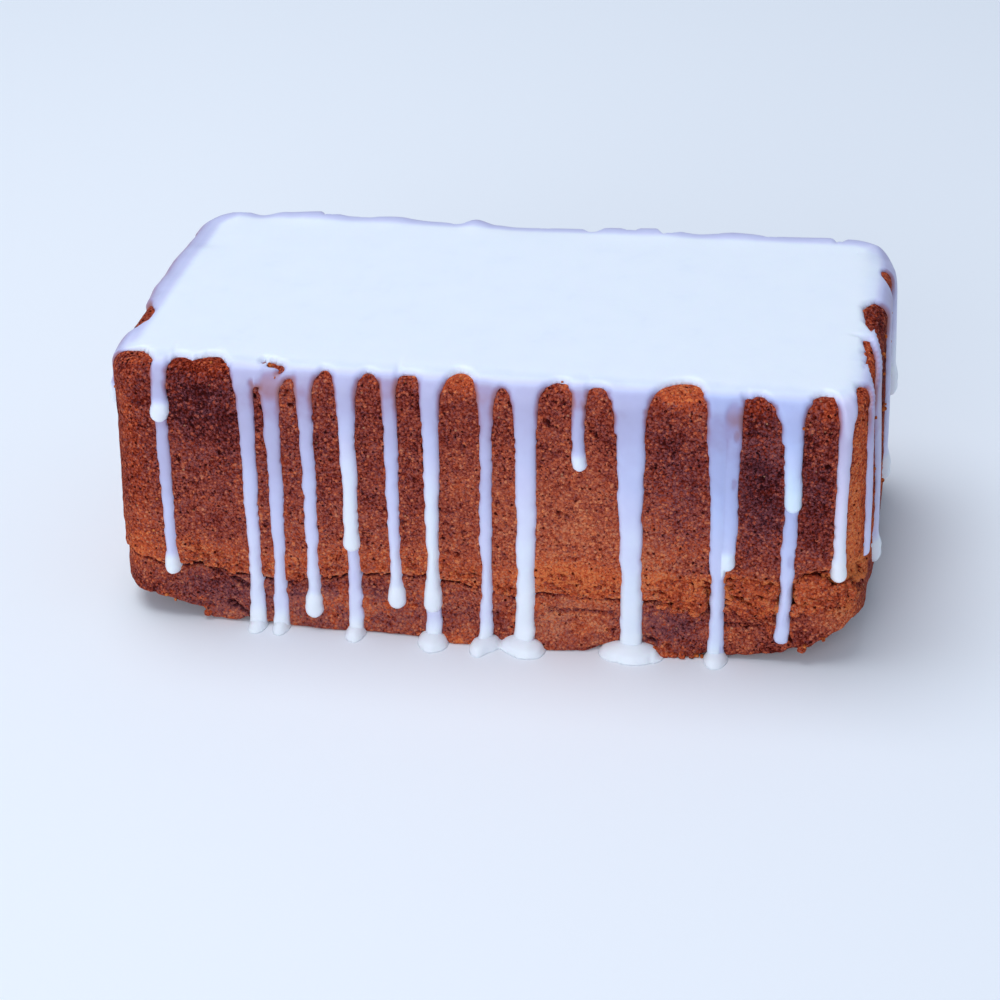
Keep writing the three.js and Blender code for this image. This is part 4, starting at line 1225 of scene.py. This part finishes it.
def build_feet():
    """The pools of icing on the plate, each a low mound against the foot of the wall."""
    us = uneven_stations(POOL_FINE, POOL_COARSE)
    outs = np.concatenate([[-2.6, -1.4], np.arange(-0.4, FOOT_REACH + 1.2, POOL_STEP)])
    u, out = np.meshgrid(us, outs)
    footprint, rise = foot_fields(u, out)
    footprint[0], footprint[-1] = -1.0, -1.0
    inside = footprint > 0.0
    _, count, _, places, faces = grid_cells(inside, footprint, us, outs)
    wall_q = depth_of(0.0)

    def on_floor(place_u, place_out, height):
        base = skin(place_u, np.full_like(place_u, wall_q), place_out)
        base[..., 2] = height
        return base

    part = np.clip(footprint / FOOT_ROUNDING, 0.0, 1.0)
    height = FLOOR_CLEARANCE + rise + FOOT_RIM * np.sqrt(part * (2.0 - part))
    outer = on_floor(u[inside], out[inside], height[inside])
    rim = on_floor(places[:, 0], places[:, 1], FLOOR_CLEARANCE)
    under = on_floor(u[inside], out[inside], FLOOR_CLEARANCE)
    shift = count + len(rim)
    faces += hidden_side(faces, count, shift)
    points = np.concatenate([outer, rim, under])
    looks = {"body": np.full(len(points), FOOT_BODY), "shade_tint": np.zeros(len(points))}
    return make_object("icing_feet", points, faces, looks)


# ---- crumbs

# Crumbs stuck to the icing and to the loaf's edges on the front: x, z, size
FRONT_CRUMBS = [
    (-64.1, 88.4, 0.8), (-63.4, 88.0, 0.6), (88.6, 80.5, 0.55), (-92.2, 19.2, 0.45), (61.5, 0.7, 0.8),
    (63, 0.6, 0.6), (-101, 8, 0.7), (-98.5, 6.4, 0.6), (93, 6.8, 0.8), (98, 9.6, 0.7), (-61.2, 86.2, 0.4),
    (20.6, 88.2, 0.5), (56.5, 88.0, 0.6), (-8, 87.8, 0.5), (-81, 88.0, 0.55), (16.8, 86.6, 0.45),
]
RIGHT_CRUMB_COUNT = 22
OTHER_CRUMB_COUNT = 40
# Torn lumps near the crack: how many, then x, height above the crack and size, each as its least value, its
# span and the power of the random draw
LUMP_KINDS = [
    (420, (50, 56, 0.9), (-2.5, 11, 1.2), (1.4, 2.4, 1.5)),
    (300, (-92, 150, 1.0), (0.4, 7, 1.7), (0.9, 1.1, 1.0)),
]
# Larger flakes at the front's bottom edge: x, z and size
FLAKES = [
    (49.5, 1.6, 3.0), (52.0, 0.8, 3.4), (54.6, 0.6, 2.4), (57.2, 0.9, 2.6), (60.0, 0.7, 1.8),
    (-88.5, 2.2, 2.4), (92.0, 5.6, 2.0),
]
LUMP_PARTS = 3  # cells along each side of the cube that a lump is bent from


def lump_shape(index):
    """Points and faces of one irregular lump about the origin: a rounded, bumpy cube about a unit across."""
    parts = LUMP_PARTS
    number = {}
    for corner in itertools.product(range(parts + 1), repeat=3):
        if 0 in corner or parts in corner:
            number[corner] = len(number)
    faces = []
    for axis, side, a, b in itertools.product(range(3), (0, parts), range(parts), range(parts)):
        quad = []
        for step_a, step_b in ((0, 0), (1, 0), (1, 1), (0, 1)):
            corner = [0, 0, 0]
            corner[axis] = side
            corner[(axis + 1) % 3] = a + step_a
            corner[(axis + 2) % 3] = b + step_b
            quad.append(number[tuple(corner)])
        faces.append(quad if side else quad[::-1])
    points = np.array(list(number), dtype=float) * 2.0 / parts - 1.0
    points /= np.linalg.norm(points, axis=1)[:, None] ** 0.8
    stretch = np.array([0.7 + 0.6 * random_of(index * 3 + k) for k in range(3)])
    bumps = 1.0 + 0.3 * lattice_noise(points + index * 7.1, 0.8, 301)
    bumps += 0.15 * lattice_noise(points - index, 0.4, 302)
    return points * stretch * bumps[:, None] * 0.5, faces


def placed_lumps():
    """Place, size and tone of each torn lump in the band above the crack, clear of the icing."""
    found = []
    for count, *ranges in LUMP_KINDS:
        for _ in range(count):
            draw = [random_of(1000 + len(found) * 5 + k) for k in range(5)]
            x, above, size = (low + span * part ** power for (low, span, power), part in zip(ranges, draw))
            found.append((front_at(x), above, size, draw[3], 0.58 + 0.34 * draw[4]))
    for x, z, size in FLAKES:
        u = front_at(x)
        found.append((u, z - float(crack_line(np.array([u]))[0]), size, 0.6, 0.7))
    u, above, size, stand, tone = np.array(found).T
    q = depth_of(crack_line(u) + above)
    icing = np.maximum(icing_fields(u, q)[0], run_fields(u, q)[0])
    keep = icing < -0.6 * size
    centres = skin(u, q, -0.3 - 0.3 * size + 0.45 * stand)
    return centres[keep], size[keep], tone[keep]


def joined(lumps):
    """Points and faces of many lumps as one mesh, clear of the floor."""
    points, faces, total = [], [], 0
    for shape, shape_faces in lumps:
        points.append(shape)
        faces += [[total + v for v in face] for face in shape_faces]
        total += len(shape)
    points = np.concatenate(points)
    points[:, 2] = np.maximum(points[:, 2], FLOOR_CLEARANCE)
    return points, faces


def build_lumps():
    lumps, tones = [], []
    for index, (centre, size, tone) in enumerate(zip(*placed_lumps())):
        shape, faces = lump_shape(index + 300)
        lumps.append((centre + shape * size * np.array([1.2, 0.9, 0.9]), faces))
        tones += [tone] * len(shape)
    points, faces = joined(lumps)
    looks = {
        "tone": np.array(tones) + 0.1 * lattice_noise(points, 1.3, 311),
        "red": np.full(len(points), 0.75),
        "flat": np.zeros(len(points)),
    }
    return make_object("torn_crumb", points, faces, looks)


def placed_crumbs():
    """Place and size of each small crumb that clings to the loaf."""
    places = []
    for x, z, size in FRONT_CRUMBS:
        places.append((front_at(x), depth_of(z) if z < EDGE_BOTTOM else (88.5 - z) * 2.2, size))
    for i in range(RIGHT_CRUMB_COUNT):
        y = -36 + 74 * random_of(i + 500)
        places.append((right_at(y), 6 + 62 * random_of(i + 530), 0.4 + 0.45 * random_of(i + 560)))
    for i in range(OTHER_CRUMB_COUNT):
        u = BACK_START + (PERIMETER - BACK_START) * random_of(i + 600)
        places.append((u, 8 + 66 * random_of(i + 640), 0.4 + 0.4 * random_of(i + 680)))
    return places


def build_crumbs():
    lumps = []
    for index, (u, q, size) in enumerate(placed_crumbs()):
        shape, faces = lump_shape(index)
        grid_u, grid_q = np.array([u]), np.array([q])
        footprint, thick, radius = icing_fields(grid_u, grid_q)
        on_icing = float(raised(grid_q, footprint, thick, radius, DIVE)[0])
        height = max(on_icing, -0.3) if footprint[0] > 0 else -0.3
        centre = skin(grid_u, grid_q, height + 0.15 * size)[0]
        centre[2] = max(centre[2], size * 0.5)
        lumps.append((centre + shape * size * 1.5, faces))
    return make_object("crumbs", *joined(lumps))


# ---- materials

def linear(red, green, blue):
    """An sRGB colour of 0 to 255 as linear values."""
    def one(c):
        c = c / 255.0
        return c / 12.92 if c <= 0.04045 else ((c + 0.055) / 1.055) ** 2.4
    return (one(red), one(green), one(blue), 1.0)


class Shade:
    """A new material with short ways to add nodes; a value is a number, a colour or a node's output."""

    def __init__(self, name):
        self.material = bpy.data.materials.new(name)
        self.material.use_nodes = True
        self.tree = self.material.node_tree
        self.shader = self.tree.nodes["Principled BSDF"]

    def plug(self, socket, value):
        if isinstance(value, bpy.types.NodeSocket):
            self.tree.links.new(value, socket)
        else:
            socket.default_value = value

    def node(self, kind, inputs=(), **settings):
        made = self.tree.nodes.new(kind)
        for key, value in settings.items():
            setattr(made, key, value)
        for key, value in dict(inputs).items():
            self.plug(made.inputs[key], value)
        return made

    def place(self):
        return self.node("ShaderNodeTexCoord").outputs["Object"]

    def attribute(self, name):
        return self.node("ShaderNodeAttribute", attribute_name=name).outputs["Fac"]

    def math(self, operation, a, b=0.0, c=0.0):
        return self.node("ShaderNodeMath", enumerate((a, b, c)), operation=operation).outputs[0]

    def vector(self, operation, a, b):
        return self.node("ShaderNodeVectorMath", enumerate((a, b)), operation=operation).outputs[0]

    def add(self, a, b):
        return self.math("ADD", a, b)

    def less(self, a, b):
        return self.math("SUBTRACT", a, b)

    def times(self, a, b):
        return self.math("MULTIPLY", a, b)

    def centred(self, value, gain):
        return self.times(self.less(value, 0.5), gain)

    def dented(self, value, dents):
        """The value less each part times its depth."""
        for part, depth in dents:
            value = self.less(value, self.times(part, depth))
        return value

    def eased(self, value, low, high):
        """Eases from 0 at low to 1 at high."""
        inputs = {"Value": value, "From Min": low, "From Max": high}
        return self.node("ShaderNodeMapRange", inputs, interpolation_type="SMOOTHSTEP").outputs["Result"]

    def noise(self, vector, scale, detail, rough=0.5):
        inputs = {"Vector": vector, "Scale": scale, "Detail": detail, "Roughness": rough}
        return self.node("ShaderNodeTexNoise", inputs).outputs["Fac"]

    def cells(self, vector, scale):
        """Distance to the nearest seed, and that seed's own random number."""
        found = self.node("ShaderNodeTexVoronoi", {"Vector": vector, "Scale": scale, "Randomness": 1.0})
        channels = self.node("ShaderNodeSeparateColor", {"Color": found.outputs["Color"]})
        return found.outputs["Distance"], channels.outputs[0]

    def ramp(self, value, stops):
        """A colour ramp; each stop is its place, red, green and blue, the colours from 0 to 255."""
        made = self.node("ShaderNodeValToRGB", {"Fac": value})
        elements = made.color_ramp.elements
        while len(elements) < len(stops):
            elements.new(0.5)
        for element, (place, *colour) in zip(elements, stops):
            element.position = place
            element.color = linear(*colour)
        return made.outputs["Color"]

    def mixed(self, factor, a, b, blend_type="MIX"):
        inputs = {"Factor": factor, 6: a, 7: b}
        return self.node("ShaderNodeMix", inputs, data_type="RGBA", blend_type=blend_type).outputs[2]

    def finish(self, colour, roughness, specular, bumps=None, strength=1.0, distance=0.001):
        """Set the shader's colour, roughness and gloss and, where there is one, the surface's bump."""
        self.plug(self.shader.inputs["Base Color"], colour)
        self.shader.inputs["Roughness"].default_value = roughness
        self.shader.inputs["Specular IOR Level"].default_value = specular
        if bumps is not None:
            bump = self.node("ShaderNodeBump", {"Height": bumps, "Strength": strength, "Distance": distance})
            self.tree.links.new(bump.outputs["Normal"], self.shader.inputs["Normal"])
        return self.material


def sponge_material():
    """Porous crumb, from dark brown to orange, with a purplish sky sheen painted in where it is smooth and
    painted shade in its pores, pits and gaps.
    """
    shade = Shade("sponge_crumb")
    place = shade.place()
    flat, red = shade.attribute("flat"), shade.attribute("red")
    grain = shade.noise(place, 1250.0, 3.5, 0.75)
    clumps = shade.noise(place, 620.0, 2.0, 0.6)
    blotch = shade.noise(place, 170.0, 3.0, 0.6)
    porous = shade.add(shade.noise(place, 1500.0, 1.5), shade.centred(shade.noise(place, 120.0, 1.0), 0.3))
    pores = shade.eased(porous, 0.39, 0.33)

    def dots(scale, reach, share):
        """Ragged dots of a given reach at a share of the seeds."""
        distance, own = shade.cells(place, scale)
        dot = shade.eased(shade.add(distance, shade.centred(grain, 0.5)), reach, reach * 0.45)
        return shade.times(dot, shade.eased(own, 1.0 - share - 0.03, 1.0 - share + 0.03))

    pits = shade.times(dots(430.0, 0.21, 0.45), shade.math("MULTIPLY_ADD", red, 0.7, 1.1))
    flecks = dots(560.0, 0.25, 0.05)
    shake = shade.vector("MULTIPLY", shade.noise(place, 900.0, 1.0), (0.0006, 0.0006, 0.0006))
    granule, granule_own = shade.cells(shade.vector("ADD", place, shake), 1300.0)
    gaps = shade.eased(granule, 0.4, 0.7)
    specks = shade.eased(granule_own, 0.84, 0.96)

    uneven = shade.centred(grain, 1.25)
    for part, gain in ((clumps, 0.25), (blotch, 0.2), (granule_own, 0.2)):
        uneven = shade.add(uneven, shade.centred(part, gain))
    # The pores, pits and gaps between granules darken the colour as painted shade in these hollows; the
    # specks lighten it at random.
    uneven = shade.dented(uneven, ((pores, 0.3), (pits, 0.42), (gaps, 0.22), (specks, -0.22)))
    uneven = shade.times(uneven, shade.math("MULTIPLY_ADD", flat, -0.3, 1.0))
    tone = shade.add(shade.attribute("tone"), uneven)
    brown = shade.ramp(tone, [
        (0.0, 62, 16, 13), (0.15, 92, 29, 24), (0.3, 124, 46, 38), (0.5, 165, 74, 56), (0.7, 196, 95, 65),
        (0.85, 217, 113, 75), (1.0, 234, 140, 96),
    ])
    # This ramp is a sky sheen painted into the colour of smooth crust.
    purple_sheen = shade.ramp(tone, [
        (0.0, 52, 20, 24), (0.15, 76, 35, 42), (0.3, 102, 53, 60), (0.5, 140, 79, 82), (0.7, 178, 98, 84),
        (1.0, 212, 132, 100),
    ])
    orange = shade.ramp(tone, [
        (0.0, 76, 16, 8), (0.15, 118, 34, 18), (0.3, 152, 54, 32), (0.5, 188, 80, 50), (0.7, 217, 96, 56),
        (1.0, 241, 132, 76),
    ])
    hue = shade.centred(shade.noise(place, 1250.0, 2.5, 0.75), 4.5)
    crust = shade.mixed(shade.eased(shade.add(flat, hue), -0.1, 0.9), brown, purple_sheen)
    crust = shade.mixed(shade.eased(shade.less(red, hue), 0.1, 1.0), crust, orange)
    crust = shade.mixed(shade.times(flecks, 0.6), crust, linear(222, 168, 128))
    bumps = shade.add(shade.times(grain, 0.8), shade.times(clumps, 0.3))
    bumps = shade.dented(bumps, ((pores, 0.25), (pits, 0.4), (granule, 0.4)))
    return shade.finish(crust, 0.9, 0.03, bumps, 1.0, 0.0011)


def crumb_material():
    """Loose crumbs, lighter than the crust."""
    shade = Shade("loose_crumb")
    grain = shade.noise(shade.place(), 900.0, 3.0)
    colour = shade.ramp(grain, [(0.3, 128, 52, 28), (0.55, 196, 100, 48), (0.75, 226, 150, 90)])
    return shade.finish(colour, 0.9, 0.1)


def icing_material():
    """Set icing: white where it is thick, lavender where it is thin, the crust's own brown at its edges,
    tinted bluish as painted shade.
    """
    shade = Shade("icing_glaze")
    place = shade.place()
    body = shade.add(shade.attribute("body"), shade.centred(shade.noise(place, 110.0, 3.0, 0.55), 0.2))
    colour = shade.ramp(shade.math("DIVIDE", body, 1.25), [
        (0.096, 160, 98, 86), (0.2, 168, 130, 150), (0.272, 173, 156, 191), (0.336, 187, 183, 216),
        (0.4, 193, 191, 225), (0.48, 204, 206, 238), (0.56, 214, 214, 243), (0.64, 223, 226, 249),
        (0.72, 230, 236, 252), (0.8, 239, 244, 254), (0.96, 244, 248, 255),
    ])
    # Painted shade: a bluish tint where the shade tint is above 0, a warmer one where it is below.
    shade_tint = shade.attribute("shade_tint")
    bluish = shade.mixed(1.0, colour, (0.84, 0.98, 1.08, 1.0), "MULTIPLY")
    warm = shade.mixed(1.0, colour, (1.08, 0.96, 0.92, 1.0), "MULTIPLY")
    colour = shade.mixed(shade_tint, colour, bluish)
    colour = shade.mixed(shade.times(shade_tint, -1.0), colour, warm)
    shade.shader.inputs["Subsurface Weight"].default_value = 0.2
    shade.shader.inputs["Subsurface Radius"].default_value = (0.9, 0.75, 0.9)
    shade.shader.inputs["Subsurface Scale"].default_value = 0.001
    return shade.finish(colour, 0.42, 0.35, shade.noise(place, 420.0, 2.0), 0.12, 0.0003)


def floor_material():
    return Shade("pale_floor").finish(linear(246, 248, 252), 0.6, 0.2)


# ---- stage

def build_floor():
    mesh = bpy.data.meshes.new("floor")
    corners = [(x * FLOOR_HALF, y * FLOOR_HALF, 0) for x, y in ((-1, -1), (1, -1), (1, 1), (-1, 1))]
    mesh.from_pydata(corners, [], [(0, 1, 2, 3)])
    mesh.materials.append(floor_material())
    floor = linked("floor", mesh)


def aim(obj, target):
    direction = Vector(target) - obj.location
    obj.rotation_euler = direction.to_track_quat("-Z", "Y").to_euler()


def build_light(name, location, size, power, colour):
    light = bpy.data.lights.new(name, "AREA")
    light.shape = "DISK"
    light.size = size
    light.energy = power
    light.color = colour
    made = linked(name, light)
    made.location = location
    aim(made, LIGHT_TARGET)


def build_world():
    world = bpy.data.worlds.new("studio")
    world.use_nodes = True
    background = world.node_tree.nodes["Background"]
    background.inputs["Color"].default_value = WORLD_COLOUR
    background.inputs["Strength"].default_value = WORLD_STRENGTH
    bpy.context.scene.world = world


def build_camera():
    back = Vector((
        math.sin(CAMERA_YAW) * math.cos(CAMERA_PITCH),
        -math.cos(CAMERA_YAW) * math.cos(CAMERA_PITCH),
        math.sin(CAMERA_PITCH),
    ))
    right = Vector((math.cos(CAMERA_YAW), math.sin(CAMERA_YAW), 0.0))
    up = back.cross(right)
    rolled_right = right * math.cos(CAMERA_ROLL) + up * math.sin(CAMERA_ROLL)
    rolled_up = up * math.cos(CAMERA_ROLL) - right * math.sin(CAMERA_ROLL)
    place = (Vector(CAMERA_TARGET) + back * CAMERA_DISTANCE) * MM + Vector((BASE.x, BASE.y, 0.0))
    camera = bpy.data.cameras.new("camera")
    camera.sensor_fit = "HORIZONTAL"
    camera.sensor_width = CAMERA_SENSOR
    camera.lens = CAMERA_LENS
    camera.clip_end = 50.0
    made = linked("camera", camera)
    axes = Matrix((rolled_right, rolled_up, back)).transposed().to_4x4()
    made.matrix_world = Matrix.Translation(place) @ axes
    bpy.context.scene.camera = made


# ---- assembly

baked = sponge_material()
for piece in (build_sponge(), build_lumps()):
    piece.data.materials.append(baked)
    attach(piece, "root")
    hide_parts("sponge")

glaze = icing_material()
for piece in (build_icing(), build_runs(), build_feet()):
    piece.data.materials.append(glaze)
    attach(piece, "root")
    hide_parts("icing")

crumbs = build_crumbs()
crumbs.data.materials.append(crumb_material())
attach(crumbs, "root")

build_floor()
for light in LIGHTS:
    build_light(*light)
build_world()
build_camera()
bpy.context.scene.view_settings.view_transform = "Standard"
